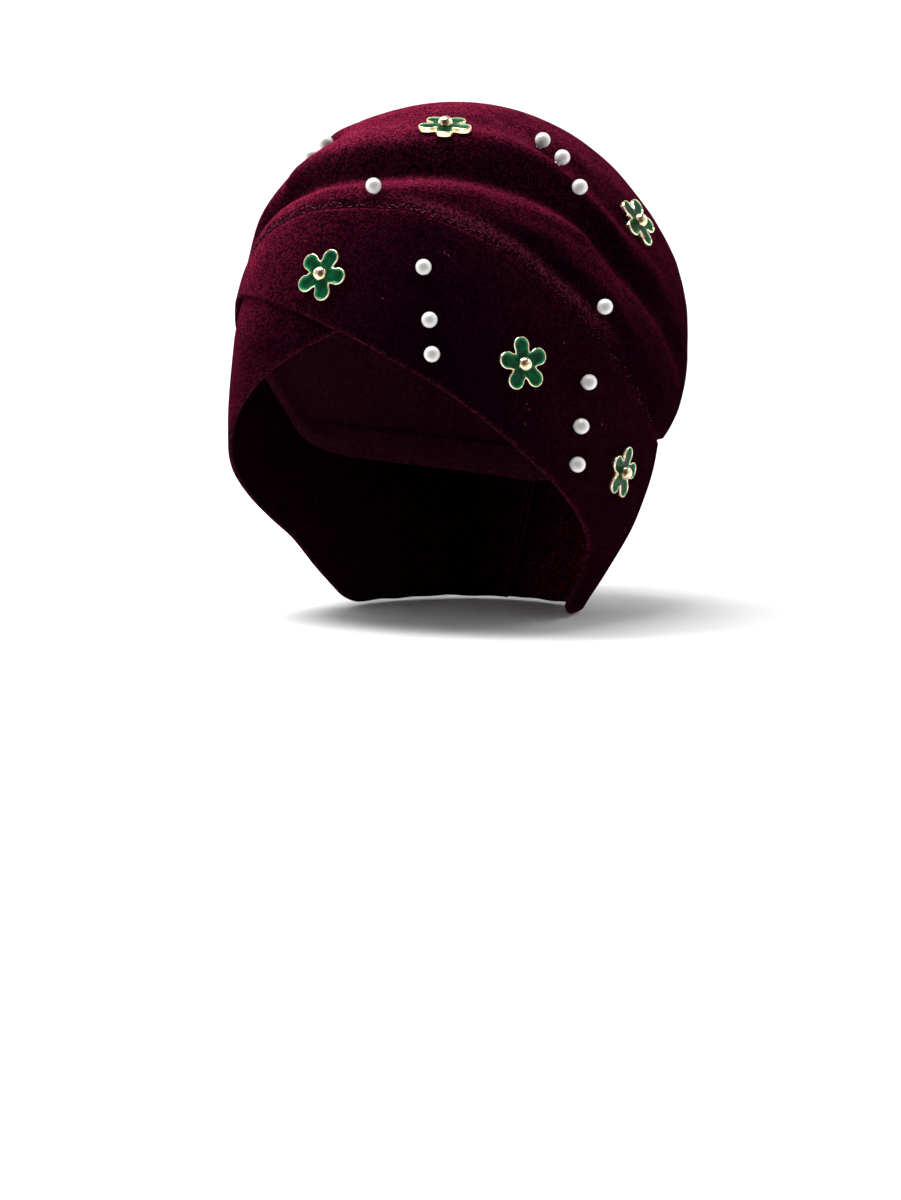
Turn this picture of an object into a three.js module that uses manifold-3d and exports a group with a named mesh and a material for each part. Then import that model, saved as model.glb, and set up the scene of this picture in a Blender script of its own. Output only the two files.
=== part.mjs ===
// Hijab cap in velvet, in the shape it has when worn: two bands that cross over the forehead, a puffy crown
// gathered above them, and enamel flowers and pearls glued on.
// Millimetres, +Z up, the face opening towards -Y and the wearer's left at +X.
// The origin is the middle of the head's hollow, at the height of the brow.
// An azimuth is counted in degrees about the head's upright axis, from the front towards the wearer's left.

import * as THREE from 'three';
import { mergeVertices } from 'three/addons/utils/BufferGeometryUtils.js';
import Module from 'manifold-3d';

const wasm = await Module();
wasm.setup();

// Driving dimensions
const AXIS_Y = 8.5; // the head's upright axis lies this far behind the origin
const BAND_WALL = 2.0; // velvet folded double
const CROWN_WALL = 1.6;
const LAP = 2.6; // from one layer's outer face to the next layer's outer face
const SEAM_CLEARANCE = 0.2; // more room for the crown behind the bands
const TUCK = 9; // how far the crown's rim reaches down behind the bands
const TUCK_STEP = 4.5; // depth below the seam at which the rim is clear of the inner band
const INNER_BAND_DROP = 5; // the inner band's top edge lies this far below the seam
const BACK_SEAM_HALF_GAP = 0.16; // degrees, each side of the seam at the centre of the back
const TEMPLE_FLARE = 3.5; // the hem stands off the temples
const TEMPLE_AZIMUTH = 46;
const TEMPLE_REACH = 22;
const FLARE_POWER = 1.6; // by which the flare fades towards the band's top edge
const LEAST_BAND = 0.6; // height left of a band at its tip

// Azimuths between which the layers change places at the back
const INNER_DROP = { from: -125, to: -113 }; // the inner band's top edge leaves the seam
const OUTER_SINK = { from: 130, to: 165 }; // the outer band comes down to the inner band's level
const SINGLE_RIGHT = { from: -112, to: -98 }; // only the inner band covers the crown's rim behind this
const SINGLE_LEFT = { from: 105, to: 125 }; // only the outer band covers it behind this

const DOME_BASE = 16.7; // height of the crown's widest level
const DOME_HEIGHT = 94.8;
const DOME_SIDE = 81;
const DOME_SIDE_SHIFT = 3.5; // the crown puffs out more on the wearer's left
const DOME_FRONT = 100;
const DOME_BACK = 97;
const DOME_PLAN_POWER = 2.1;
const DOME_POWER = 2.02;
const ARC_RADIUS = 95; // millimetres of cloth for each radian of latitude
const PUFF_START = 1.8; // above the seam the crown starts to swell out over the bands' edge
const PUFF_RISE = 5.5; // and has swelled past it
const PUFF_REACH_FRONT = 20; // and reaches the dome's full form within these lengths
const PUFF_REACH_BACK = 36;
const PUFF_BACK = { from: 60, to: 105 }; // azimuths over which the reach grows from one to the other
const PUFF_PULL_POWER = 2;
const FOLD_START = 7; // the folds fade in over this length above the seam
const STEEPEST_LATITUDE = 70; // folds above it are no longer widened for their slant

const FRONT_POWER = 2.35; // the head's plan is squarer in front than behind
const BACK_POWER = 2.0;

const PEARL_RADIUS = 3.0;
const PEARL_SIDES = 10;
const PEARL_RINGS = 5;
const FLOWER = {
  petals: 5,
  petalCentre: 6.7, // from the flower's axis to the middle of a petal's round end
  petalRadius: 3.2,
  petalSweep: 95, // degrees of round end on each side of the petal's axis
  arcDivisions: 3,
  notchRadius: 5.1,
  rimWidth: 0.8,
  plate: 0.7, // thickness of the setting under the enamel
  rimHeight: 1.9,
  enamelTop: 1.5,
  beadRadius: 2.6,
  beadCut: 0.25, // the bead is cut flat this share of its radius below its middle
  beadSides: 10,
  beadRings: 4,
};
const CLEARANCE = 0.3; // kept between pieces that rest on each other
const GLUE_LINE = 0.35; // from the cloth to an ornament glued on it
const PROBE_REACH = 12; // how far from the cloth its height under an ornament is looked for
const PROBES = 10;
const SLOPE_STEP = 0.5; // millimetres of height to each side in which the head's slope is taken
const FRAME_REACH = 3; // millimetres, or degrees, to each side in which an ornament's plane is taken
const LATITUDE_PER_STEP = 0.6;
const PEARL_FOOT = 0.8; // share of a pearl's radius within which it may touch the cloth
const WELD = 1e-4;

// Cloth sections of the head: the outer band's outer face at each height
const HEAD_SECTIONS = [
  { height: -90, side: 43.0, front: 94.0, back: 46.0 },
  { height: -80, side: 47.5, front: 95.0, back: 51.0 },
  { height: -65, side: 57.0, front: 97.0, back: 60.0 },
  { height: -45, side: 68.0, front: 98.5, back: 70.5 },
  { height: -22, side: 74.5, front: 99.5, back: 81.0 },
  { height: 0, side: 76.5, front: 100.0, back: 86.0 },
  { height: 22, side: 76.0, front: 98.5, back: 88.0 },
  { height: 44, side: 72.0, front: 94.0, back: 84.0 },
  { height: 64, side: 63.5, front: 86.0, back: 75.0 },
  { height: 80, side: 54.0, front: 75.0, back: 62.0 },
  { height: 92, side: 42.0, front: 59.5, back: 48.0 },
];

// Height of the seam between bands and crown, the same on both sides of the head
const SEAM = [
  { azimuth: 0, height: 72 },
  { azimuth: 12, height: 71 },
  { azimuth: 20, height: 68 },
  { azimuth: 30, height: 62.5 },
  { azimuth: 40, height: 53.5 },
  { azimuth: 50, height: 41.5 },
  { azimuth: 61, height: 28 },
  { azimuth: 75, height: 13 },
  { azimuth: 86, height: 2 },
  { azimuth: 95, height: -8 },
  { azimuth: 110, height: -15 },
  { azimuth: 135, height: -20 },
  { azimuth: 180, height: -27 },
];

// Height of a band's hem, from its tip past one ear, over the forehead, to the nape.
// The other band is its mirror image.
const HEM = [
  { azimuth: -128, height: -19.5 },
  { azimuth: -118, height: -22.5 },
  { azimuth: -104, height: -19 },
  { azimuth: -95, height: -13.5 },
  { azimuth: -85, height: -4.5 },
  { azimuth: -70, height: 11 },
  { azimuth: -58, height: 24.5 },
  { azimuth: -45, height: 36.5 },
  { azimuth: -30, height: 40 },
  { azimuth: -20, height: 38.3 },
  { azimuth: -10, height: 34.2 },
  { azimuth: 0, height: 28.5 },
  { azimuth: 9, height: 21.5 },
  { azimuth: 19.5, height: 12 },
  { azimuth: 31, height: -2 },
  { azimuth: 43.6, height: -19.6 },
  { azimuth: 59.5, height: -39 },
  { azimuth: 68, height: -48.5 },
  { azimuth: 73, height: -55 },
  { azimuth: 76.5, height: -66 },
  { azimuth: 83, height: -77 },
  { azimuth: 95, height: -80 },
  { azimuth: 180, height: -80 },
];
const TIP_AZIMUTH = HEM[0].azimuth;

// Folds of the crown. Each row: azimuth and latitude of the fold's line, how far it stands out (in, below zero)
// and half its width in degrees of latitude. lean is the share by which a crest also hangs over what is below.
const FOLDS = [
  {
    name: 'shade under the upper roll',
    lean: 0,
    rows: [
      { azimuth: -62, latitude: -2, out: 0, width: 4 },
      { azimuth: -50, latitude: 16, out: -3.5, width: 4 },
      { azimuth: -38, latitude: 37, out: -5, width: 3.6 },
      { azimuth: -26, latitude: 42, out: -5.5, width: 3.8 },
      { azimuth: -8, latitude: 45, out: -5.8, width: 4 },
      { azimuth: 21, latitude: 46.4, out: -5.8, width: 4 },
      { azimuth: 41, latitude: 44, out: -6, width: 4.2 },
      { azimuth: 64, latitude: 36.4, out: -6, width: 4.4 },
      { azimuth: 75, latitude: 24, out: -5.5, width: 4.5 },
      { azimuth: 86, latitude: 16, out: -5, width: 4.5 },
      { azimuth: 100, latitude: 5, out: -4, width: 4.5 },
      { azimuth: 116, latitude: -10, out: 0, width: 4 },
    ],
  },
  {
    name: 'upper roll',
    lean: 0.6,
    rows: [
      { azimuth: -66, latitude: 24, out: 0, width: 4 },
      { azimuth: -50, latitude: 36, out: 2.0, width: 4.5 },
      { azimuth: -38, latitude: 46, out: 2.8, width: 5 },
      { azimuth: -20, latitude: 52.5, out: 3, width: 5.5 },
      { azimuth: 7, latitude: 55, out: 3.5, width: 6 },
      { azimuth: 32, latitude: 55.5, out: 3.5, width: 6 },
      { azimuth: 52, latitude: 52, out: 3.5, width: 5.5 },
      { azimuth: 66, latitude: 43.5, out: 3, width: 4.5 },
      { azimuth: 80, latitude: 29, out: 1.8, width: 4.5 },
      { azimuth: 100, latitude: 16, out: 0, width: 4.5 },
    ],
  },
  {
    name: 'lower roll above the seam',
    lean: 0.3,
    rows: [
      { azimuth: -60, latitude: 12, out: 0, width: 3.5 },
      { azimuth: -35, latitude: 31, out: 0.2, width: 3.5 },
      { azimuth: -17, latitude: 38, out: 0.6, width: 3.2 },
      { azimuth: 0, latitude: 39, out: 0.5, width: 3 },
      { azimuth: 25, latitude: 38, out: 0.6, width: 3.2 },
      { azimuth: 47, latitude: 29, out: 1.2, width: 4.2 },
      { azimuth: 62, latitude: 15.5, out: 1.8, width: 4.5 },
      { azimuth: 74, latitude: 5, out: 1.2, width: 4 },
      { azimuth: 90, latitude: -6, out: 0, width: 4 },
    ],
  },
  {
    name: 'dip behind the upper roll',
    lean: 0,
    rows: [
      { azimuth: -76, latitude: 57, out: 0, width: 4 },
      { azimuth: -64, latitude: 60, out: -1.5, width: 4 },
      { azimuth: -50, latitude: 58, out: -1.2, width: 4 },
      { azimuth: -36, latitude: 60, out: 0, width: 4 },
      { azimuth: 0, latitude: 72, out: 0, width: 6 },
      { azimuth: 40, latitude: 70, out: 0, width: 6 },
      { azimuth: 60, latitude: 60, out: -2.5, width: 5 },
      { azimuth: 74, latitude: 47, out: -3, width: 5 },
      { azimuth: 86, latitude: 33, out: -1, width: 5 },
      { azimuth: 100, latitude: 24, out: 0, width: 5 },
    ],
  },
  {
    name: 'fold behind the three pearls on the right',
    lean: 0,
    rows: [
      { azimuth: -112, latitude: 28, out: 0, width: 4.2 },
      { azimuth: -98, latitude: 42, out: 3, width: 4.2 },
      { azimuth: -86, latitude: 52, out: 5.5, width: 4.2 },
      { azimuth: -76, latitude: 59, out: 5.5, width: 4.2 },
      { azimuth: -64, latitude: 65, out: 2.4, width: 4.4 },
      { azimuth: -50, latitude: 70, out: 0.6, width: 5 },
      { azimuth: -34, latitude: 74, out: 0, width: 6 },
    ],
  },
];

// Ornaments. place is the height in millimetres on the outer band and the latitude in degrees on the crown.
// turn, in degrees, spins a flower about its own axis.
const FLOWERS = [
  { on: 'band', azimuth: -4.7, place: 47.8, turn: -12 },
  { on: 'band', azimuth: 40, place: 16.8, turn: -30 },
  { on: 'band', azimuth: 78, place: -24.3, turn: -38 },
  { on: 'crown', azimuth: 21.3, place: 58.5, turn: -18 },
  { on: 'crown', azimuth: 90.5, place: 34.4, turn: -6 },
];
const PEARLS = [
  { on: 'band', azimuth: 18.6, place: 50.0 },
  { on: 'band', azimuth: 20.2, place: 32.1 },
  { on: 'band', azimuth: 20.8, place: 20.5 },
  { on: 'band', azimuth: 58.0, place: 9.6 },
  { on: 'band', azimuth: 55.0, place: -5.7 },
  { on: 'band', azimuth: 54.0, place: -19.2 },
  { on: 'crown', azimuth: 4.0, place: 38.4 },
  { on: 'crown', azimuth: 65.0, place: 58.5 },
  { on: 'crown', azimuth: 63.0, place: 50.5 },
  { on: 'crown', azimuth: 64.5, place: 43.2 },
  { on: 'crown', azimuth: 62.4, place: 13.6 },
  { on: 'crown', azimuth: -62, place: 58.5 },
  { on: 'crown', azimuth: -67, place: 54 },
  { on: 'crown', azimuth: -72, place: 49.5 },
];

// How finely the cloth is divided
const COLUMN_STEP_FRONT = 7;
const COLUMN_STEP_BACK = 13;
const FOLDED_FROM = -105; // azimuths between which the crown has its folds
const FOLDED_TO = 119;
const CROWN_ROWS = 30;
const TUCK_ROWS = 2;
const BAND_ROWS = 6;

const VELVET = { color: 0x4a0d20, roughness: 0.85, metalness: 0 };
const GILT = { color: 0xe6cf8a, roughness: 0.22, metalness: 1 };
const ENAMEL = { color: 0x0b6b3a, roughness: 0.12, metalness: 0 };
const PEARL = { color: 0xf3f1ea, roughness: 0.18, metalness: 0 };

const radians = THREE.MathUtils.degToRad;
const degrees = THREE.MathUtils.radToDeg;

function smoothstep(from, to, x) {
  return THREE.MathUtils.smoothstep(x, from, to);
}

// A smooth curve through a table's rows that never overshoots them
function curve(table, across, column, x) {
  const last = table.length - 1;
  const at = THREE.MathUtils.clamp(x, table[0][across], table[last][across]);
  let i = 0;
  while (i < last - 1 && table[i + 1][across] <= at) {
    i += 1;
  }
  const slope = (k) => (table[k + 1][column] - table[k][column]) / (table[k + 1][across] - table[k][across]);
  const tangent = (k) => {
    if (k === 0) return slope(0);
    if (k === last) return slope(last - 1);
    const before = slope(k - 1);
    const after = slope(k);
    if (before * after <= 0) return 0;
    const left = table[k][across] - table[k - 1][across];
    const right = table[k + 1][across] - table[k][across];
    const weightBefore = 2 * right + left;
    const weightAfter = right + 2 * left;
    return (weightBefore + weightAfter) / (weightBefore / before + weightAfter / after);
  };
  const span = table[i + 1][across] - table[i][across];
  const u = (at - table[i][across]) / span;
  const u2 = u * u;
  const u3 = u2 * u;
  return (2 * u3 - 3 * u2 + 1) * table[i][column]
    + (u3 - 2 * u2 + u) * tangent(i) * span
    + (3 * u2 - 2 * u3) * table[i + 1][column]
    + (u3 - u2) * tangent(i + 1) * span;
}

// Radius of a rounded plan outline at an azimuth
function planRadius(azimuth, side, front, back, frontPower, backPower) {
  const across = Math.abs(Math.sin(radians(azimuth)));
  const along = Math.cos(radians(azimuth));
  const length = along > 0 ? front : back;
  const power = along > 0 ? frontPower : backPower;
  return ((across / side) ** power + (Math.abs(along) / length) ** power) ** (-1 / power);
}

function headRadius(azimuth, height) {
  const side = curve(HEAD_SECTIONS, 'height', 'side', height);
  const front = curve(HEAD_SECTIONS, 'height', 'front', height);
  const back = curve(HEAD_SECTIONS, 'height', 'back', height);
  return planRadius(azimuth, side, front, back, FRONT_POWER, BACK_POWER);
}

// Radius of the surface that lies offset outside the head's outer cloth face, measured square to it
function layerRadius(azimuth, height, offset) {
  const slope = headRadius(azimuth, height + SLOPE_STEP) - headRadius(azimuth, height - SLOPE_STEP);
  return headRadius(azimuth, height) + offset * Math.hypot(1, slope / (2 * SLOPE_STEP));
}

function polar(azimuth, radius, height) {
  const angle = radians(azimuth);
  return new THREE.Vector3(radius * Math.sin(angle), AXIS_Y - radius * Math.cos(angle), height);
}

function seamHeight(azimuth) {
  return curve(SEAM, 'azimuth', 'height', Math.abs(azimuth));
}

// A point of a band. side 1 is the outer band, whose full end is on the wearer's left, and -1 the inner band.
// along runs from tip to back seam in azimuth, across from hem (0) to top edge (1), depth is into the cloth.
function bandPoint(side, azimuth, across, depth) {
  const along = side * azimuth;
  const hem = curve(HEM, 'azimuth', 'height', along);
  const drop = side > 0 ? 0 : INNER_BAND_DROP * smoothstep(INNER_DROP.from, INNER_DROP.to, azimuth);
  const top = Math.max(seamHeight(azimuth) - drop, hem + LEAST_BAND);
  const height = hem + (top - hem) * across;
  const layer = side > 0 ? -LAP * smoothstep(OUTER_SINK.from, OUTER_SINK.to, azimuth) : -LAP;
  const nearTemple = Math.exp(-(((along - TEMPLE_AZIMUTH) / TEMPLE_REACH) ** 2));
  const flare = TEMPLE_FLARE * nearTemple * (1 - across) ** FLARE_POWER;
  return polar(azimuth, layerRadius(azimuth, height, layer + flare - depth), height);
}

// How far inside the outer face the crown passes through the seam
function seamOffset(azimuth) {
  const single = azimuth < 0
    ? 1 - smoothstep(SINGLE_RIGHT.from, SINGLE_RIGHT.to, azimuth)
    : smoothstep(SINGLE_LEFT.from, SINGLE_LEFT.to, azimuth);
  return -LAP * (1 + single) - SEAM_CLEARANCE;
}

function domeRadius(azimuth, latitude) {
  const side = DOME_SIDE + DOME_SIDE_SHIFT * Math.sin(radians(azimuth));
  const plan = planRadius(azimuth, side, DOME_FRONT, DOME_BACK, DOME_PLAN_POWER, DOME_PLAN_POWER);
  const level = Math.abs(Math.cos(radians(latitude))) / plan;
  const rise = Math.abs(Math.sin(radians(latitude))) / DOME_HEIGHT;
  return (level ** DOME_POWER + rise ** DOME_POWER) ** (-1 / DOME_POWER);
}

// What the folds add at a place of the crown: outwards, and down towards the seam
function foldShift(azimuth, latitude) {
  let out = 0;
  let down = 0;
  const level = Math.cos(radians(THREE.MathUtils.clamp(latitude, -STEEPEST_LATITUDE, STEEPEST_LATITUDE)));
  for (const fold of FOLDS) {
    const rows = fold.rows;
    if (azimuth <= rows[0].azimuth || azimuth >= rows[rows.length - 1].azimuth) continue;
    const line = curve(rows, 'azimuth', 'latitude', azimuth);
    const before = curve(rows, 'azimuth', 'latitude', azimuth - 1);
    const after = curve(rows, 'azimuth', 'latitude', azimuth + 1);
    const slant = (after - before) / (2 * level);
    const width = curve(rows, 'azimuth', 'width', azimuth) * Math.hypot(1, slant);
    const rise = curve(rows, 'azimuth', 'out', azimuth) * Math.exp(-(((latitude - line) / width) ** 2));
    out += rise;
    down += fold.lean * Math.max(rise, 0);
  }
  return { out, down };
}

function seamLatitude(azimuth) {
  const radius = layerRadius(azimuth, seamHeight(azimuth), 0);
  return degrees(Math.atan2(seamHeight(azimuth) - DOME_BASE, radius));
}

// A point of the crown's outer face above the seam, share 0 at the seam and 1 at the top
function crownPoint(azimuth, share) {
  const start = seamLatitude(azimuth);
  const latitude = start + (90 - start) * share;
  const above = radians(latitude - start) * ARC_RADIUS;
  const seam = seamHeight(azimuth);
  const seamReach = Math.hypot(layerRadius(azimuth, seam, 0), seam - DOME_BASE);
  const behind = smoothstep(PUFF_BACK.from, PUFF_BACK.to, Math.abs(azimuth));
  const reach = PUFF_REACH_FRONT + (PUFF_REACH_BACK - PUFF_REACH_FRONT) * behind;
  const pull = Math.max(1 - above / reach, 0) ** PUFF_PULL_POWER;
  const tucked = seamOffset(azimuth) * (1 - smoothstep(PUFF_START, PUFF_RISE, above));
  const edge = smoothstep(0, FOLD_START, above);
  const fold = foldShift(azimuth, latitude);
  const radius = domeRadius(azimuth, latitude)
    + (seamReach - domeRadius(azimuth, start)) * pull + tucked + fold.out * edge;
  const angle = radians(latitude) - (fold.down * edge) / ARC_RADIUS;
  return polar(azimuth, radius * Math.cos(angle), DOME_BASE + radius * Math.sin(angle));
}

// A point of the crown's rim, tucked behind the bands, share 0 at its lower edge and 1 at the seam
function rimPoint(azimuth, share) {
  const below = TUCK * (1 - share);
  const height = seamHeight(azimuth) - below;
  const start = seamOffset(azimuth);
  const offset = start + (-2 * LAP - SEAM_CLEARANCE - start) * smoothstep(0, TUCK_STEP, below);
  return polar(azimuth, layerRadius(azimuth, height, offset), height);
}

// The azimuths at which all cloth is divided, so that layers stay parallel
function columnAzimuths() {
  const list = [];
  for (let azimuth = FOLDED_FROM; azimuth < FOLDED_TO; azimuth += COLUMN_STEP_FRONT) {
    list.push(azimuth);
  }
  for (let azimuth = FOLDED_TO; azimuth < FOLDED_FROM + 360 - 1; azimuth += COLUMN_STEP_BACK) {
    list.push(azimuth > 180 ? azimuth - 360 : azimuth);
  }
  return list.sort((a, b) => a - b);
}

function indexedGeometry(points, faces) {
  const geometry = new THREE.BufferGeometry().setFromPoints(points);
  geometry.setIndex(faces.flat());
  geometry.computeVertexNormals();
  return geometry;
}

// Two faces for each cell of a grid of columns and rows, split along the cell's shorter diagonal.
// The grid's points start at number first. Faces look outwards, unless flipped.
function gridFaces(grid, closed, first, flipped) {
  const faces = [];
  const columns = grid.length;
  const rows = grid[0].length;
  for (let i = 0; i < (closed ? columns : columns - 1); i += 1) {
    const next = (i + 1) % columns;
    for (let j = 0; j < rows - 1; j += 1) {
      const a = first + i * rows + j;
      const b = first + next * rows + j;
      const rising = grid[i][j].distanceTo(grid[next][j + 1]) < grid[i][j + 1].distanceTo(grid[next][j]);
      const cell = rising ? [[a, b, b + 1], [a, b + 1, a + 1]] : [[a, b, a + 1], [b, b + 1, a + 1]];
      faces.push(...(flipped ? cell.map(([p, q, r]) => [p, r, q]) : cell));
    }
  }
  return faces;
}

// The inner face of a cloth: each point of the outer face moved in by the wall, square to the surface
function insetGrid(grid, wall) {
  const columns = grid.length;
  const rows = grid[0].length;
  return grid.map((column, i) => column.map((point, j) => {
    const before = grid[(i + columns - 1) % columns][j];
    const after = grid[(i + 1) % columns][j];
    const below = column[Math.max(j - 1, 0)];
    const above = column[Math.min(j + 1, rows - 1)];
    const round = after.clone().sub(before);
    const up = above.clone().sub(below);
    return point.clone().addScaledVector(round.cross(up).normalize(), -wall);
  }));
}

function crownGeometry() {
  const azimuths = columnAzimuths();
  const outer = azimuths.map((azimuth) => {
    const column = [];
    for (let j = 0; j < TUCK_ROWS; j += 1) {
      column.push(rimPoint(azimuth, j / TUCK_ROWS));
    }
    const first = degrees(PUFF_START / ARC_RADIUS) / (90 - seamLatitude(azimuth));
    column.push(crownPoint(azimuth, 0));
    for (let j = 0; j < CROWN_ROWS; j += 1) {
      column.push(crownPoint(azimuth, first + ((1 - first) * j) / CROWN_ROWS));
    }
    return column;
  });
  const inner = insetGrid(outer, CROWN_WALL);
  const columns = outer.length;
  const rows = outer[0].length;
  const top = crownPoint(0, 1);
  const points = [...outer.flat(), ...inner.flat(), top, top.clone().setZ(top.z - CROWN_WALL)];
  const innerFirst = columns * rows;
  const topOuter = 2 * columns * rows;
  const faces = [...gridFaces(outer, true, 0, false), ...gridFaces(inner, true, innerFirst, true)];
  for (let i = 0; i < columns; i += 1) {
    const next = (i + 1) % columns;
    const a = i * rows;
    const b = next * rows;
    faces.push([a, innerFirst + b, b], [a, innerFirst + a, innerFirst + b]);
    faces.push([a + rows - 1, b + rows - 1, topOuter]);
    faces.push([innerFirst + a + rows - 1, topOuter + 1, innerFirst + b + rows - 1]);
  }
  return indexedGeometry(points, faces);
}

function bandGeometry(side) {
  const tip = side * TIP_AZIMUTH;
  const end = side * (180 - BACK_SEAM_HALF_GAP);
  const low = Math.min(tip, end);
  const high = Math.max(tip, end);
  const inside = columnAzimuths().filter((azimuth) => azimuth > low + 1 && azimuth < high - 1);
  const azimuths = [low, ...inside, high];
  const layer = (depth) => azimuths.map((azimuth) => {
    const column = [];
    for (let j = 0; j <= BAND_ROWS; j += 1) {
      column.push(bandPoint(side, azimuth, j / BAND_ROWS, depth));
    }
    return column;
  });
  const columns = azimuths.length;
  const rows = BAND_ROWS + 1;
  const outer = layer(0);
  const inner = layer(BAND_WALL);
  const points = [...outer.flat(), ...inner.flat()];
  const innerFirst = columns * rows;
  const faces = [...gridFaces(outer, false, 0, false), ...gridFaces(inner, false, innerFirst, true)];
  for (let i = 0; i < columns - 1; i += 1) {
    const a = i * rows;
    const b = a + rows;
    faces.push([a, innerFirst + b, b], [a, innerFirst + a, innerFirst + b]);
    const c = a + rows - 1;
    const d = b + rows - 1;
    faces.push([c, d, innerFirst + d], [c, innerFirst + d, innerFirst + c]);
  }
  for (let j = 0; j < rows - 1; j += 1) {
    const e = (columns - 1) * rows + j;
    faces.push([j, j + 1, innerFirst + j + 1], [j, innerFirst + j + 1, innerFirst + j]);
    faces.push([e, innerFirst + e + 1, e + 1], [e, innerFirst + e, innerFirst + e + 1]);
  }
  return indexedGeometry(points, faces);
}

// Outline of the flower, drawn in by inset: a round petal, a straight side, and a notch between petals
function flowerShape(inset) {
  const outline = new THREE.Path();
  const notch = FLOWER.notchRadius - inset;
  const step = (2 * Math.PI) / FLOWER.petals;
  const sweep = radians(FLOWER.petalSweep);
  for (let k = 0; k < FLOWER.petals; k += 1) {
    const middle = Math.PI / 2 + k * step;
    const before = middle - step / 2;
    const notchPoint = [notch * Math.cos(before), notch * Math.sin(before)];
    if (k === 0) {
      outline.moveTo(...notchPoint);
    } else {
      outline.lineTo(...notchPoint);
    }
    const centre = [FLOWER.petalCentre * Math.cos(middle), FLOWER.petalCentre * Math.sin(middle)];
    outline.absarc(...centre, FLOWER.petalRadius - inset, middle - sweep, middle + sweep, false);
  }
  return new THREE.Shape(outline.getPoints(FLOWER.arcDivisions));
}

function slab(shape, bottom, top) {
  const geometry = new THREE.ExtrudeGeometry(shape, { depth: top - bottom, bevelEnabled: false });
  return geometry.translate(0, 0, bottom);
}

function toSolid(geometry) {
  const plain = geometry.clone();
  plain.deleteAttribute('normal');
  plain.deleteAttribute('uv');
  const merged = mergeVertices(plain, WELD);
  const vertProperties = new Float32Array(merged.attributes.position.array);
  const triVerts = new Uint32Array(merged.index.array);
  return new wasm.Manifold(new wasm.Mesh({ numProp: 3, vertProperties, triVerts }));
}

function toGeometry(solid) {
  const mesh = solid.getMesh();
  const geometry = new THREE.BufferGeometry();
  geometry.setAttribute('position', new THREE.BufferAttribute(new Float32Array(mesh.vertProperties), 3));
  geometry.setIndex(new THREE.BufferAttribute(new Uint32Array(mesh.triVerts), 1));
  geometry.computeVertexNormals();
  return geometry;
}

// A shallow tray in the flower's outline, with a raised rim
function settingGeometry() {
  const block = slab(flowerShape(0), 0, FLOWER.rimHeight);
  const hollow = slab(flowerShape(FLOWER.rimWidth), FLOWER.plate, FLOWER.rimHeight + 1);
  return toGeometry(toSolid(block).subtract(toSolid(hollow)));
}

function enamelGeometry() {
  return slab(flowerShape(FLOWER.rimWidth + CLEARANCE), FLOWER.plate + CLEARANCE, FLOWER.enamelTop);
}

// A round bead, cut flat underneath so that it sits on the enamel
function beadGeometry() {
  const cutAngle = Math.acos(FLOWER.beadCut);
  const foot = FLOWER.enamelTop + CLEARANCE;
  const middle = foot + FLOWER.beadRadius * FLOWER.beadCut;
  const profile = [new THREE.Vector2(0, foot)];
  for (let k = 0; k <= FLOWER.beadRings; k += 1) {
    const angle = Math.PI - cutAngle - ((Math.PI - cutAngle) * k) / FLOWER.beadRings;
    const radius = k === FLOWER.beadRings ? 0 : FLOWER.beadRadius * Math.sin(angle);
    profile.push(new THREE.Vector2(radius, middle + FLOWER.beadRadius * Math.cos(angle)));
  }
  return new THREE.LatheGeometry(profile, FLOWER.beadSides).rotateX(Math.PI / 2);
}

// The cloth's smooth outer face under an ornament, as a function of two small steps across it
function clothPatch(ornament) {
  if (ornament.on === 'band') {
    const hem = curve(HEM, 'azimuth', 'height', ornament.azimuth);
    const top = seamHeight(ornament.azimuth);
    const share = (ornament.place - hem) / (top - hem);
    return (u, v) => bandPoint(1, ornament.azimuth + u, share + v / (top - hem), 0);
  }
  const start = seamLatitude(ornament.azimuth);
  const share = (ornament.place - start) / (90 - start);
  const step = LATITUDE_PER_STEP / (90 - start);
  return (u, v) => crownPoint(ornament.azimuth + u, share + v * step);
}

// Middle and outward direction of the cloth at an ornament
function clothFrame(ornament) {
  const patch = clothPatch(ornament);
  const round = patch(FRAME_REACH, 0).sub(patch(-FRAME_REACH, 0)).normalize();
  const up = patch(0, FRAME_REACH).sub(patch(0, -FRAME_REACH)).normalize();
  const out = round.clone().cross(up).normalize();
  return { middle: patch(0, 0), round, out };
}

// Height of the modelled cloth above the frame's middle, at a place across the frame
function clothHeight(cloth, frame, distance, angle) {
  const aside = frame.out.clone().cross(frame.round);
  const start = frame.middle.clone()
    .addScaledVector(frame.round, distance * Math.cos(angle))
    .addScaledVector(aside, distance * Math.sin(angle))
    .addScaledVector(frame.out, PROBE_REACH);
  const ray = new THREE.Raycaster(start, frame.out.clone().negate(), 0, 2 * PROBE_REACH);
  const hits = ray.intersectObject(cloth, false);
  return hits.length > 0 ? PROBE_REACH - hits[0].distance : -PROBE_REACH;
}

// How far above the frame's middle a piece rests on the cloth. foot gives the piece's underside at a distance
// from its axis.
function restingHeight(cloth, frame, radii, foot) {
  let height = -PROBE_REACH;
  for (const radius of radii) {
    for (let k = 0; k < PROBES; k += 1) {
      const angle = (2 * Math.PI * k) / PROBES;
      height = Math.max(height, clothHeight(cloth, frame, radius, angle) - foot(radius));
    }
  }
  return height + GLUE_LINE;
}

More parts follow.
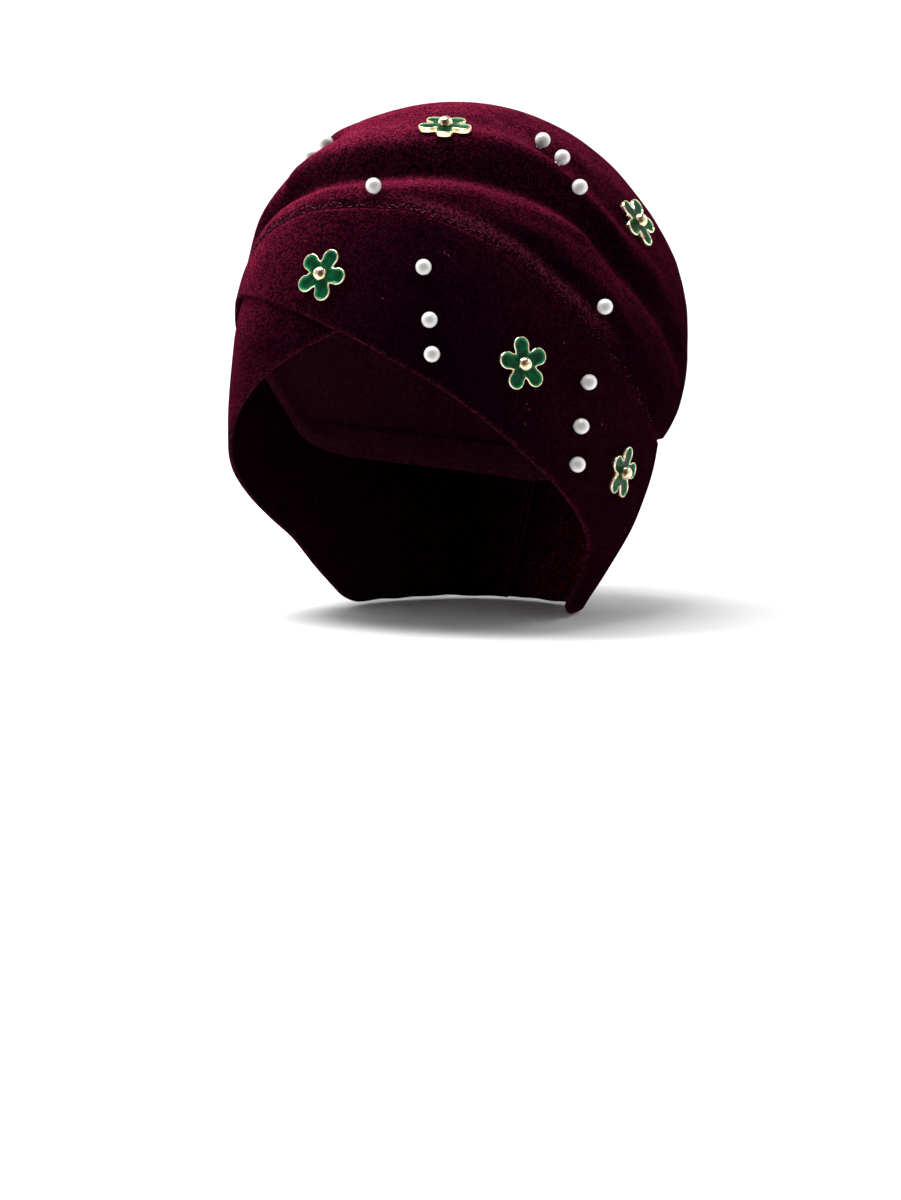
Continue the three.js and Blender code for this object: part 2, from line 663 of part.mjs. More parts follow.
// A nested frame that stands on the cloth, +Z outwards
function seat(cloth, ornament, radii, foot) {
  const frame = clothFrame(ornament);
  const group = new THREE.Group();
  const turned = frame.round.clone().applyAxisAngle(frame.out, radians(ornament.turn ?? 0));
  const basis = new THREE.Matrix4().makeBasis(turned, frame.out.clone().cross(turned), frame.out);
  group.quaternion.setFromRotationMatrix(basis);
  group.position.copy(frame.middle).addScaledVector(frame.out, restingHeight(cloth, frame, radii, foot));
  return group;
}

function piece(name, geometry, look) {
  const mesh = new THREE.Mesh(geometry, new THREE.MeshStandardMaterial(look));
  mesh.name = name;
  return mesh;
}

function flower(number, ornament, cloth) {
  const tip = FLOWER.petalCentre + FLOWER.petalRadius;
  const group = seat(cloth, ornament, [0, tip / 2, tip], () => 0);
  group.add(piece(`flower_${number}_setting`, settingGeometry(), GILT));
  group.add(piece(`flower_${number}_enamel`, enamelGeometry(), ENAMEL));
  group.add(piece(`flower_${number}_bead`, beadGeometry(), GILT));
  return group;
}

function pearl(number, ornament, cloth) {
  const underside = (distance) => PEARL_RADIUS - Math.sqrt(PEARL_RADIUS ** 2 - distance ** 2);
  const group = seat(cloth, ornament, [0, PEARL_RADIUS / 2, PEARL_RADIUS * PEARL_FOOT], underside);
  const ball = new THREE.SphereGeometry(PEARL_RADIUS, PEARL_SIDES, PEARL_RINGS).rotateX(Math.PI / 2);
  const name = `pearl_${String(number).padStart(2, '0')}`;
  group.add(piece(name, ball.translate(0, 0, PEARL_RADIUS), PEARL));
  return group;
}

const crown = piece('crown', crownGeometry(), VELVET);
const outerBand = piece('over_wrap', bandGeometry(1), VELVET);
const innerBand = piece('under_wrap', bandGeometry(-1), VELVET);
const clothUnder = { band: outerBand, crown };

const cap = new THREE.Group();
cap.add(crown, outerBand, innerBand);
FLOWERS.forEach((ornament, k) => cap.add(flower(k + 1, ornament, clothUnder[ornament.on])));
PEARLS.forEach((ornament, k) => cap.add(pearl(k + 1, ornament, clothUnder[ornament.on])));

export default cap;
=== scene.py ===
"""The looks of a velvet hijab cap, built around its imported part.

The cloth follows the part's own forms at a finer step, with rounded hems and a turned-in seam. Enamel flowers
and pearls stand where the part's solids stand. Forms are worked out in millimetres and degrees, and made in
metres. An azimuth is counted from the front towards the wearer's left.
"""

import logging
import math
from dataclasses import dataclass, field
from enum import Enum
from typing import Dict, List, Optional, Sequence, Tuple, Union

import bpy
import numpy as np
from mathutils import Matrix, Vector


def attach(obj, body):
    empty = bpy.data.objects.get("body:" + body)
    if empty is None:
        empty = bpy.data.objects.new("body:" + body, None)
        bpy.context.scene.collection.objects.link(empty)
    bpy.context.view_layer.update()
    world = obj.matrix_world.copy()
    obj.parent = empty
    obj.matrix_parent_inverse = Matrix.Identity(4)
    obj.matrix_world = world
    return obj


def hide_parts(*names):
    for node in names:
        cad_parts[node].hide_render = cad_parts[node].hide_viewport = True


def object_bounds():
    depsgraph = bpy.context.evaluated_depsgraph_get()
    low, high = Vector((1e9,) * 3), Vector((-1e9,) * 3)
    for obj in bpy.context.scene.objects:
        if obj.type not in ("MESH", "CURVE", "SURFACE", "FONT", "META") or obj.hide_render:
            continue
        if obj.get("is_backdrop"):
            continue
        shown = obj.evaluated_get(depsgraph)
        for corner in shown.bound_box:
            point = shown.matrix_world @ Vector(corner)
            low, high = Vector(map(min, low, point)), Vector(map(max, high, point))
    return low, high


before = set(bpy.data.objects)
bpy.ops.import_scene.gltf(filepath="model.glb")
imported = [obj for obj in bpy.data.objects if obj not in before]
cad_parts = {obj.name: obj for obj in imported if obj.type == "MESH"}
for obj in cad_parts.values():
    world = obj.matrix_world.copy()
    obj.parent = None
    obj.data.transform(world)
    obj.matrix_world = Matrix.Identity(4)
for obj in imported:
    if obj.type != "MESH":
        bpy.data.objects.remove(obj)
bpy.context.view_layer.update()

log = logging.getLogger("hijab_cap")

MM = 0.001
LEAST_LENGTH = 1e-9
Rows = Tuple[Tuple[float, ...], ...]
Span = Tuple[float, float]
Stops = Tuple[Span, ...]
Triple = Tuple[float, float, float]
Colour = Triple
Array = np.ndarray


class Side(Enum):
    """Which way a band crosses the forehead."""

    OUTER = 1
    INNER = -1


class Ground(Enum):
    """The cloth that an ornament is glued to."""

    BAND = "band"
    CROWN = "crown"


# Smooth curves


def smoothstep(start: float, end: float, value: Array) -> Array:
    """Rise smoothly from 0 at start to 1 at end.

    Args:
        start: where the rise begins.
        end: where it is complete.
        value: the places to work it out at.

    Returns:
        The share risen at each place.
    """
    share = np.clip((np.asarray(value, float) - start) / (end - start), 0, 1)
    return share * share * (3 - 2 * share)


def curve(rows: Rows, place: Array) -> Array:
    """Follow a table's rows smoothly without overshooting them.

    Args:
        rows: the table, with the place in the first column.
        place: the places to work it out at.

    Returns:
        The other columns at each place, in a last axis.
    """
    table = np.array(rows, float)
    knots, values = table[:, 0], table[:, 1:]
    at = np.clip(place, knots[0], knots[-1])
    index = np.clip(np.searchsorted(knots, at, side="right") - 1, 0, len(knots) - 2)
    spans = np.diff(knots)[:, None]
    slopes = np.diff(values, axis=0) / spans
    tangents = np.zeros_like(values)
    tangents[0], tangents[-1] = slopes[0], slopes[-1]
    before, after = slopes[:-1], slopes[1:]
    weight_before = 2 * spans[1:] + spans[:-1]
    weight_after = spans[1:] + 2 * spans[:-1]
    same_way = before * after > 0
    safe_before = np.where(same_way, before, 1)
    safe_after = np.where(same_way, after, 1)
    mean = (weight_before + weight_after) / (weight_before / safe_before + weight_after / safe_after)
    tangents[1:-1] = np.where(same_way, mean, 0)
    span = spans[:, 0][index][..., None]
    u = (at - knots[index])[..., None] / span
    return (
        (2 * u**3 - 3 * u**2 + 1) * values[index]
        + (u**3 - 2 * u**2 + u) * tangents[index] * span
        + (3 * u**2 - 2 * u**3) * values[index + 1]
        + (u**3 - u**2) * tangents[index + 1] * span
    )


def plan_radius(azimuth: Array, side: Array, front: Array, back: Array, powers: Span) -> Array:
    """Give the radius of a rounded plan outline.

    Args:
        azimuth: degrees from the front towards the wearer's left.
        side: half the width.
        front: reach to the front of the axis.
        back: reach to the back of it.
        powers: how square the front half and the back half are.

    Returns:
        The radius at each azimuth.
    """
    angle = np.radians(azimuth)
    across, along = np.abs(np.sin(angle)), np.cos(angle)
    length = np.where(along > 0, front, back)
    power = np.where(along > 0, powers[0], powers[1])
    return ((across / side) ** power + (np.abs(along) / length) ** power) ** (-1 / power)


# Forms of the cloth


@dataclass(frozen=True)
class HeadForm:
    """The outer cloth face round the head, and the seam between bands and crown."""

    axis_y: float = 8.5
    powers: Span = (2.35, 2.0)
    lap: float = 2.6
    slope_step: float = 0.5
    # height, half width, reach to the front, reach to the back
    sections: Rows = (
        (-90, 43.0, 94.0, 46.0),
        (-80, 47.5, 95.0, 51.0),
        (-65, 57.0, 97.0, 60.0),
        (-45, 68.0, 98.5, 70.5),
        (-22, 74.5, 99.5, 81.0),
        (0, 76.5, 100.0, 86.0),
        (22, 76.0, 98.5, 88.0),
        (44, 72.0, 94.0, 84.0),
        (64, 63.5, 86.0, 75.0),
        (80, 54.0, 75.0, 62.0),
        (92, 42.0, 59.5, 48.0),
    )
    # azimuth, height
    seam: Rows = (
        (0, 72),
        (12, 71),
        (20, 68),
        (30, 62.5),
        (40, 53.5),
        (50, 41.5),
        (61, 28),
        (75, 13),
        (86, 2),
        (95, -8),
        (110, -15),
        (135, -20),
        (180, -27),
    )

    def radius(self, azimuth: Array, height: Array) -> Array:
        """Give the outer face's radius at an azimuth and height."""
        section = curve(self.sections, height)
        return plan_radius(azimuth, section[..., 0], section[..., 1], section[..., 2], self.powers)

    def layer_radius(self, azimuth: Array, height: Array, offset: Array) -> Array:
        """Give the radius of a layer beside the outer cloth face.

        Args:
            azimuth: degrees from the front towards the wearer's left.
            height: height above the origin.
            offset: how far outside the face the layer lies, measured square to it.

        Returns:
            The radius at each place.
        """
        above = self.radius(azimuth, height + self.slope_step)
        below = self.radius(azimuth, height - self.slope_step)
        slope = (above - below) / (2 * self.slope_step)
        return self.radius(azimuth, height) + offset * np.hypot(1, slope)

    def point(self, azimuth: Array, radius: Array, height: Array) -> Array:
        """Place a point round the head's axis.

        Args:
            azimuth: degrees from the front towards the wearer's left.
            radius: distance from the axis.
            height: height above the origin.

        Returns:
            The points, in a last axis.
        """
        angle = np.radians(azimuth)
        level = height + 0 * angle
        return np.stack([radius * np.sin(angle), self.axis_y - radius * np.cos(angle), level], -1)

    def seam_height(self, azimuth: Array) -> Array:
        """Give the seam's height, the same on both sides of the head."""
        return curve(self.seam, np.abs(azimuth))[..., 0]


@dataclass(frozen=True)
class BandForm:
    """The face of one of the two bands that cross over the forehead."""

    head: HeadForm
    side: Side
    flare: float = 3.5
    flare_azimuth: float = 46.0
    flare_reach: float = 22.0
    flare_power: float = 1.6
    inner_drop: float = 5.0
    drop_span: Span = (-125.0, -113.0)
    sink_span: Span = (130.0, 165.0)
    least_height: float = 0.6
    # azimuth from the tip, over the forehead, to the nape; height
    hem: Rows = (
        (-128, -19.5),
        (-118, -22.5),
        (-104, -19),
        (-95, -13.5),
        (-85, -4.5),
        (-70, 11),
        (-58, 24.5),
        (-45, 36.5),
        (-30, 40),
        (-20, 38.3),
        (-10, 34.2),
        (0, 28.5),
        (9, 21.5),
        (19.5, 12),
        (31, -2),
        (43.6, -19.6),
        (59.5, -39),
        (68, -48.5),
        (73, -55),
        (76.5, -66),
        (83, -77),
        (95, -80),
        (180, -80),
    )

    def limits(self, azimuth: Array) -> Tuple[Array, Array]:
        """Give the heights between which the band lies.

        Args:
            azimuth: degrees from the front towards the wearer's left.

        Returns:
            The heights of the hem and of the top edge.
        """
        hem = curve(self.hem, self.side.value * azimuth)[..., 0]
        drop = 0.0 if self.side is Side.OUTER else self.inner_drop * smoothstep(*self.drop_span, azimuth)
        return hem, np.maximum(self.head.seam_height(azimuth) - drop, hem + self.least_height)

    def point(self, azimuth: Array, height: Array, depth: Array) -> Array:
        """Place a point of the band.

        Args:
            azimuth: degrees from the front towards the wearer's left.
            height: height above the origin.
            depth: how far it lies inside the band's outer face.

        Returns:
            The points, in a last axis.
        """
        hem, top = self.limits(azimuth)
        across = np.clip((height - hem) / (top - hem), 0, 1)
        lap = self.head.lap
        layer = -lap * smoothstep(*self.sink_span, azimuth) if self.side is Side.OUTER else -lap
        near = np.exp(-(((self.side.value * azimuth - self.flare_azimuth) / self.flare_reach) ** 2))
        flare = self.flare * near * (1 - across) ** self.flare_power
        radius = self.head.layer_radius(azimuth, height, layer + flare - depth)
        return self.head.point(azimuth, radius, height)


@dataclass(frozen=True)
class Fold:
    """One long fold of the crown: its line, how far it stands out and half its width, in rows by azimuth."""

    rows: Rows
    lean: float = 0.0
    steepest: float = 70.0

    def shift(self, azimuth: Array, latitude: Array) -> Array:
        """Give how far the fold moves the cloth outwards.

        Args:
            azimuth: degrees from the front towards the wearer's left.
            latitude: degrees above the crown's widest level.

        Returns:
            Millimetres at each place.
        """
        at = curve(self.rows, azimuth)
        after = curve(self.rows, azimuth + 1)[..., 0]
        before = curve(self.rows, azimuth - 1)[..., 0]
        level = np.cos(np.radians(np.clip(latitude, -self.steepest, self.steepest)))
        slant = (after - before) / (2 * level)
        width = at[..., 2] * np.hypot(1, slant)
        inside = (azimuth > self.rows[0][0]) & (azimuth < self.rows[-1][0])
        return inside * at[..., 1] * np.exp(-(((latitude - at[..., 0]) / width) ** 2))


# azimuth, latitude of the line, how far out, half width
SHADE_UNDER_ROLL: Rows = (
    (-62, -2, 0, 4),
    (-50, 16, -3.5, 4),
    (-38, 37, -5, 3.6),
    (-26, 42, -5.5, 3.8),
    (-8, 45, -5.8, 4),
    (21, 46.4, -5.8, 4),
    (41, 44, -6, 4.2),
    (64, 36.4, -6, 4.4),
    (75, 24, -5.5, 4.5),
    (86, 16, -5, 4.5),
    (100, 5, -4, 4.5),
    (116, -10, 0, 4),
)
UPPER_ROLL: Rows = (
    (-66, 24, 0, 4),
    (-50, 36, 2.0, 4.5),
    (-38, 46, 2.8, 5),
    (-20, 52.5, 3, 5.5),
    (7, 55, 3.5, 6),
    (32, 55.5, 3.5, 6),
    (52, 52, 3.5, 5.5),
    (66, 43.5, 3, 4.5),
    (80, 29, 1.8, 4.5),
    (100, 16, 0, 4.5),
)
LOWER_ROLL: Rows = (
    (-60, 12, 0, 3.5),
    (-35, 31, 0.2, 3.5),
    (-17, 38, 0.6, 3.2),
    (0, 39, 0.5, 3),
    (25, 38, 0.6, 3.2),
    (47, 29, 1.2, 4.2),
    (62, 15.5, 1.8, 4.5),
    (74, 5, 1.2, 4),
    (90, -6, 0, 4),
)
DIP_BEHIND_ROLL: Rows = (
    (-76, 57, 0, 4),
    (-64, 60, -1.5, 4),
    (-50, 58, -1.2, 4),
    (-36, 60, 0, 4),
    (0, 72, 0, 6),
    (40, 70, 0, 6),
    (60, 60, -2.5, 5),
    (74, 47, -3, 5),
    (86, 33, -1, 5),
    (100, 24, 0, 5),
)
FOLD_BEHIND_PEARLS: Rows = (
    (-112, 28, 0, 4.2),
    (-98, 42, 3, 4.2),
    (-86, 52, 5.5, 4.2),
    (-76, 59, 5.5, 4.2),
    (-64, 65, 2.4, 4.4),
    (-50, 70, 0.6, 5),
    (-34, 74, 0, 6),
)


@dataclass(frozen=True)
class Waves:
    """A run of waves of the cloth that wander as they go."""

    pitch: float
    start: float
    wander: float
    wander_pitch: float
    wander_start: float = 0.0

    def height(self, across: Array, along: Array) -> Array:
        """Give the waves' height, from -1 to 1, at a distance across them and along them."""
        shift = self.wander * np.sin(self.wander_pitch * along + self.wander_start)
        return np.sin(across * self.pitch + shift + self.start)


@dataclass(frozen=True)
class Ripples:
    """Shallow ripples that run along the folds and die out towards the back."""

    depth: float = 0.3
    fine: Waves = Waves(pitch=0.62, start=0.8, wander=1.7, wander_pitch=1.9, wander_start=0.4)
    fine_share: float = 0.6
    broad: Waves = Waves(pitch=0.29, start=2.1, wander=2.3, wander_pitch=1.3, wander_start=-0.9)
    patch_level: float = 0.55
    patch_swing: float = 0.45
    patch_along: float = 2.7
    patch_across: float = 0.05
    middle: float = 25.0
    reach: float = 80.0

    def height(self, azimuth: Array, latitude: Array, across: Array) -> Array:
        """Give the ripples' height.

        Args:
            azimuth: degrees from the front towards the wearer's left.
            latitude: degrees above the crown's widest level.
            across: length of cloth above the crease under the upper roll.

        Returns:
            Millimetres at each place.
        """
        along = np.radians(azimuth)
        fine, broad = self.fine.height(across, along), self.broad.height(across, along)
        place = self.patch_along * along + self.patch_across * across
        patches = self.patch_level + self.patch_swing * np.sin(place)
        near = np.exp(-(((azimuth - self.middle) / self.reach) ** 2))
        front = near * np.cos(np.radians(np.clip(latitude, 0, 90)))
        return self.depth * (self.fine_share * fine * patches + broad) * front


@dataclass(frozen=True)
class BackGathers:
    """The small gathers along the seam round the back, and the slack of the cloth above them."""

    span: Span = (88.0, 125.0)
    depth: float = 1.5
    tucks: Waves = Waves(pitch=31.0, start=0.6, wander=2.1, wander_pitch=5.0)
    tuck_level: float = 0.6
    tuck_swing: float = 0.4
    swing_pitch: float = 7.0
    swing_start: float = 1.3
    rise_span: Span = (0.0, 4.0)
    reach: float = 26.0
    fade_power: float = 1.6
    billow: float = 1.5
    billow_pitch: float = 5.3
    billow_slant: float = 0.03
    billow_start: float = 0.8
    billow_height: float = 21.0
    billow_wander: float = 1.9
    wander_pitch: float = 2.1
    billow_from: Span = (8.0, 45.0)
    billow_to: Span = (95.0, 135.0)

    def height(self, azimuth: Array, rise: Array) -> Array:
        """Give how far the gathers and the slack stand out.

        Args:
            azimuth: degrees from the front towards the wearer's left.
            rise: length of cloth above the seam.

        Returns:
            Millimetres at each place.
        """
        back = smoothstep(*self.span, np.abs(azimuth))
        angle = np.radians(azimuth)
        uneven = self.tuck_level + self.tuck_swing * np.sin(self.swing_pitch * angle + self.swing_start)
        fine = self.tucks.height(angle, angle) * uneven
        close = smoothstep(*self.rise_span, rise) * np.exp(-((rise / self.reach) ** self.fade_power))
        round_slack = np.sin(self.billow_pitch * angle + self.billow_slant * rise + self.billow_start)
        wander = self.billow_wander * np.sin(self.wander_pitch * angle)
        slack = round_slack * np.sin(rise / self.billow_height + wander)
        level = smoothstep(*self.billow_from, rise) * (1 - smoothstep(*self.billow_to, rise))
        return back * (self.depth * fine * close + self.billow * slack * level)


@dataclass(frozen=True)
class CrownForm:
    """The puffy top and the rim that it tucks behind the bands."""

    head: HeadForm
    base: float = 16.7
    height: float = 94.8
    side: float = 81.0
    side_shift: float = 3.5
    front: float = 100.0
    back: float = 97.0
    plan_power: float = 2.1
    power: float = 2.02
    arc_radius: float = 95.0
    seam_sink: float = 0.45
    single_right: Span = (-112.0, -98.0)
    single_left: Span = (105.0, 125.0)
    ridge: float = 0.45
    ridge_rise: float = 2.6
    ridge_width: float = 2.6
    ridge_from: Span = (-60.0, -30.0)
    ridge_to: Span = (66.0, 92.0)
    swell_end: float = 3.4
    reach_front: float = 20.0
    reach_back: float = 36.0
    reach_span: Span = (60.0, 105.0)
    pull_power: int = 2
    fold_start: float = 5.0
    tuck: float = 9.0
    tuck_step: float = 4.5
    tuck_offset: float = 5.4
    ripples: Ripples = Ripples()
    gathers: BackGathers = BackGathers()
    folds: Tuple[Fold, ...] = (
        Fold(SHADE_UNDER_ROLL),
        Fold(UPPER_ROLL, lean=0.6),
        Fold(LOWER_ROLL, lean=0.3),
        Fold(DIP_BEHIND_ROLL),
        Fold(FOLD_BEHIND_PEARLS),
    )

    def seam_offset(self, azimuth: Array) -> Array:
        """Give where the crown passes the seam.

        Args:
            azimuth: degrees from the front towards the wearer's left.

        Returns:
            How far outside the outer cloth face it passes, which is below zero.
        """
        right = 1 - smoothstep(*self.single_right, azimuth)
        left = smoothstep(*self.single_left, azimuth)
        single = np.where(azimuth < 0, right, left)
        return -self.head.lap * single - self.seam_sink

    def dome(self, azimuth: Array, latitude: Array) -> Array:
        """Give the smooth dome's distance from the crown's centre.

        Args:
            azimuth: degrees from the front towards the wearer's left.
            latitude: degrees above the crown's widest level.

        Returns:
            The distance in each direction.
        """
        side = self.side + self.side_shift * np.sin(np.radians(azimuth))
        plan = plan_radius(azimuth, side, self.front, self.back, (self.plan_power, self.plan_power))
        level = np.abs(np.cos(np.radians(latitude))) / plan
        rise = np.abs(np.sin(np.radians(latitude))) / self.height
        return (level**self.power + rise**self.power) ** (-1 / self.power)

    def along_folds(self, azimuth: Array, latitude: Array) -> Array:
        """Give the height of the shallow ripples that run along the folds."""
        line = curve(SHADE_UNDER_ROLL, azimuth)[..., 0]
        return self.ripples.height(azimuth, latitude, np.radians(latitude - line) * self.arc_radius)

    def seam_ridge(self, azimuth: Array, rise: Array) -> Array:
        """Give the low ridge over the forehead where the turned-in seam lifts the cloth."""
        front = smoothstep(*self.ridge_from, azimuth) * (1 - smoothstep(*self.ridge_to, azimuth))
        return self.ridge * front * np.exp(-(((rise - self.ridge_rise) / self.ridge_width) ** 2))

    def seam_latitude(self, azimuth: Array) -> Array:
        """Give the seam's latitude as seen from the crown's centre."""
        seam = self.head.seam_height(azimuth)
        return np.degrees(np.arctan2(seam - self.base, self.head.layer_radius(azimuth, seam, 0)))

    def point(self, azimuth: Array, above: Array) -> Array:
        """Place a point of the crown's outer face.

        Args:
            azimuth: degrees from the front towards the wearer's left.
            above: length of cloth from the seam upwards, or below zero down behind the bands.

        Returns:
            The points, in a last axis.
        """
        rise = np.maximum(above, 0)
        start = self.seam_latitude(azimuth)
        latitude = np.minimum(start + np.degrees(rise / self.arc_radius), 90)
        seam = self.head.seam_height(azimuth)
        seam_reach = np.hypot(self.head.layer_radius(azimuth, seam, 0), seam - self.base)
        behind = smoothstep(*self.reach_span, np.abs(azimuth))
        reach = self.reach_front + (self.reach_back - self.reach_front) * behind
        pull = np.clip(1 - rise / reach, 0, 1) ** self.pull_power
        sunk = self.seam_offset(azimuth) * (1 - smoothstep(0, self.swell_end, rise))
        shifts = [fold.shift(azimuth, latitude) for fold in self.folds]
        edge = smoothstep(0, self.fold_start, rise)
        out = (sum(shifts) + self.along_folds(azimuth, latitude)) * edge
        down = sum(fold.lean * np.maximum(shift, 0) for fold, shift in zip(self.folds, shifts)) * edge
        relief = self.seam_ridge(azimuth, rise) + self.gathers.height(azimuth, rise)
        swell = (seam_reach - self.dome(azimuth, start)) * pull
        radius = self.dome(azimuth, latitude) + swell + sunk + out + relief
        angle = np.radians(latitude) - down / self.arc_radius
        upper = self.head.point(azimuth, radius * np.cos(angle), self.base + radius * np.sin(angle))
        below = np.maximum(-above, 0)
        passing = self.seam_offset(azimuth)
        offset = passing + (-self.tuck_offset - passing) * smoothstep(0, self.tuck_step, below)
        lower_radius = self.head.layer_radius(azimuth, seam - below, offset)
        lower = self.head.point(azimuth, lower_radius, seam - below)
        return np.where((above < 0)[..., None], lower, upper)


# Meshes


def of_length_one(arrows: Array) -> Array:
    """Bring arrows, one to a row, to length one."""
    return arrows / np.linalg.norm(arrows, axis=1, keepdims=True)


def direction(azimuth: float, elevation: float) -> Vector:
    """Give the way from the cap towards an azimuth and elevation."""
    a, e = math.radians(azimuth), math.radians(elevation)
    return Vector((math.sin(a) * math.cos(e), -math.cos(a) * math.cos(e), math.sin(e)))


def deselect_all() -> None:
    """Leave no object selected or in edit mode."""
    if bpy.context.object is not None and bpy.context.object.mode != "OBJECT":
        bpy.ops.object.mode_set(mode="OBJECT")
    bpy.ops.object.select_all(action="DESELECT")


def mesh_object(name: str, points: Array, faces: Sequence[Sequence[int]]) -> bpy.types.Object:
    """Make a smooth mesh from points in millimetres.

    Args:
        name: the piece's name.
        points: one row for each point.
        faces: point numbers of each face, anticlockwise from outside.

    Returns:
        The new object, at the origin.
    """
    mesh = bpy.data.meshes.new(name)
    mesh.from_pydata((np.asarray(points) * MM).tolist(), [], [list(face) for face in faces])
    mesh.polygons.foreach_set("use_smooth", np.ones(len(mesh.polygons), bool))
    mesh.update()
    piece = bpy.data.objects.new(name, mesh)
    bpy.context.scene.collection.objects.link(piece)
    return piece


def set_attribute(piece: bpy.types.Object, name: str, values: Array) -> None:
    """Store one number for each point of a piece."""
    attribute = piece.data.attributes.new(name, "FLOAT", "POINT")
    attribute.data.foreach_set("value", np.asarray(values, np.float32).ravel())


@dataclass(frozen=True)
class PaintedFacingLight:
    """Painted light: points that face up, and points that face the wearer's right, where the key light
    stands, are made lighter.
    """

    level: float = 0.31
    upward: float = 0.46
    rightward: float = 0.22
    least: float = 0.17
    lean: float = 0.4
    azimuth: float = -64.0

    def store(self, piece: bpy.types.Object) -> None:
        """Store on each point its painted light, more where it faces up and towards the wearer's right.

        Args:
            piece: the cloth, already smooth.
        """
        normals = np.empty(len(piece.data.vertices) * 3, np.float32)
        piece.data.vertex_normals.foreach_get("vector", normals)
        normals = normals.reshape(-1, 3)
        side = np.array(direction(self.azimuth, 0.0))
        up = normals[:, 2]
        # painted light: lighter on top and on the side towards the key light
        caught = self.level + self.upward * up + self.rightward * (normals @ side) * (self.lean + up)
        set_attribute(piece, "painted_light", np.clip(caught, self.least, 1.0))


def grid_faces(columns: int, rows: int, first: int, flipped: bool) -> List[List[int]]:
    """List the four-sided faces of a grid of points that closes round.

    Args:
        columns: how many columns run round.
        rows: how many points each column has.
        first: number of the grid's first point.
        flipped: whether the faces look inwards.

    Returns:
        The point numbers of each face.
    """
    i, j = np.meshgrid(np.arange(columns), np.arange(rows - 1), indexing="ij")
    a = first + i * rows + j
    b = first + ((i + 1) % columns) * rows + j
    order = [a, a + 1, b + 1, b] if flipped else [a, b, b + 1, a + 1]
    return np.stack(order, -1).reshape(-1, 4).tolist()


def grid_normals(grid: Array) -> Array:
    """Give the outward directions of a grid of columns and rows that closes round.

    Args:
        grid: the grid's points.

    Returns:
        A direction of length one for each point.
    """
    around = np.roll(grid, -1, 0) - np.roll(grid, 1, 0)
    cross = np.cross(around, np.gradient(grid, axis=1))
    return cross / np.maximum(np.linalg.norm(cross, axis=-1, keepdims=True), LEAST_LENGTH)


def move_mesh(piece: bpy.types.Object, place: Matrix) -> None:
    """Put a piece's mesh in its place and leave its object at the origin."""
    piece.data.transform(place)
    piece.data.update()


# Shader nodes

Operand = Union["Signal", float]


class Signal:
    """An output of a node that takes part in Python sums."""

    def __init__(self, paint: "Paint", socket: bpy.types.NodeSocket) -> None:
        """Keep the socket and the material it belongs to."""
        self.paint = paint
        self.socket = socket

    def _join(self, operation: str, first: Operand, second: Operand) -> "Signal":
        """Add a Math node on two values."""
        return self.paint.node("ShaderNodeMath", {"operation": operation}, {0: first, 1: second})

    def __add__(self, other: Operand) -> "Signal":
        """Add a value."""
        return self._join("ADD", self, other)

    def __radd__(self, other: Operand) -> "Signal":
        """Add to a value."""
        return self._join("ADD", other, self)

    def __sub__(self, other: Operand) -> "Signal":
        """Take a value away."""
        return self._join("SUBTRACT", self, other)

    def __rsub__(self, other: Operand) -> "Signal":
        """Take this away from a value."""
        return self._join("SUBTRACT", other, self)

    def __mul__(self, other: Operand) -> "Signal":
        """Multiply by a value."""
        return self._join("MULTIPLY", self, other)

    def __rmul__(self, other: Operand) -> "Signal":
        """Multiply a value by this."""
        return self._join("MULTIPLY", other, self)

    def __pow__(self, other: Operand) -> "Signal":
        """Raise to a power."""
        return self._join("POWER", self, other)


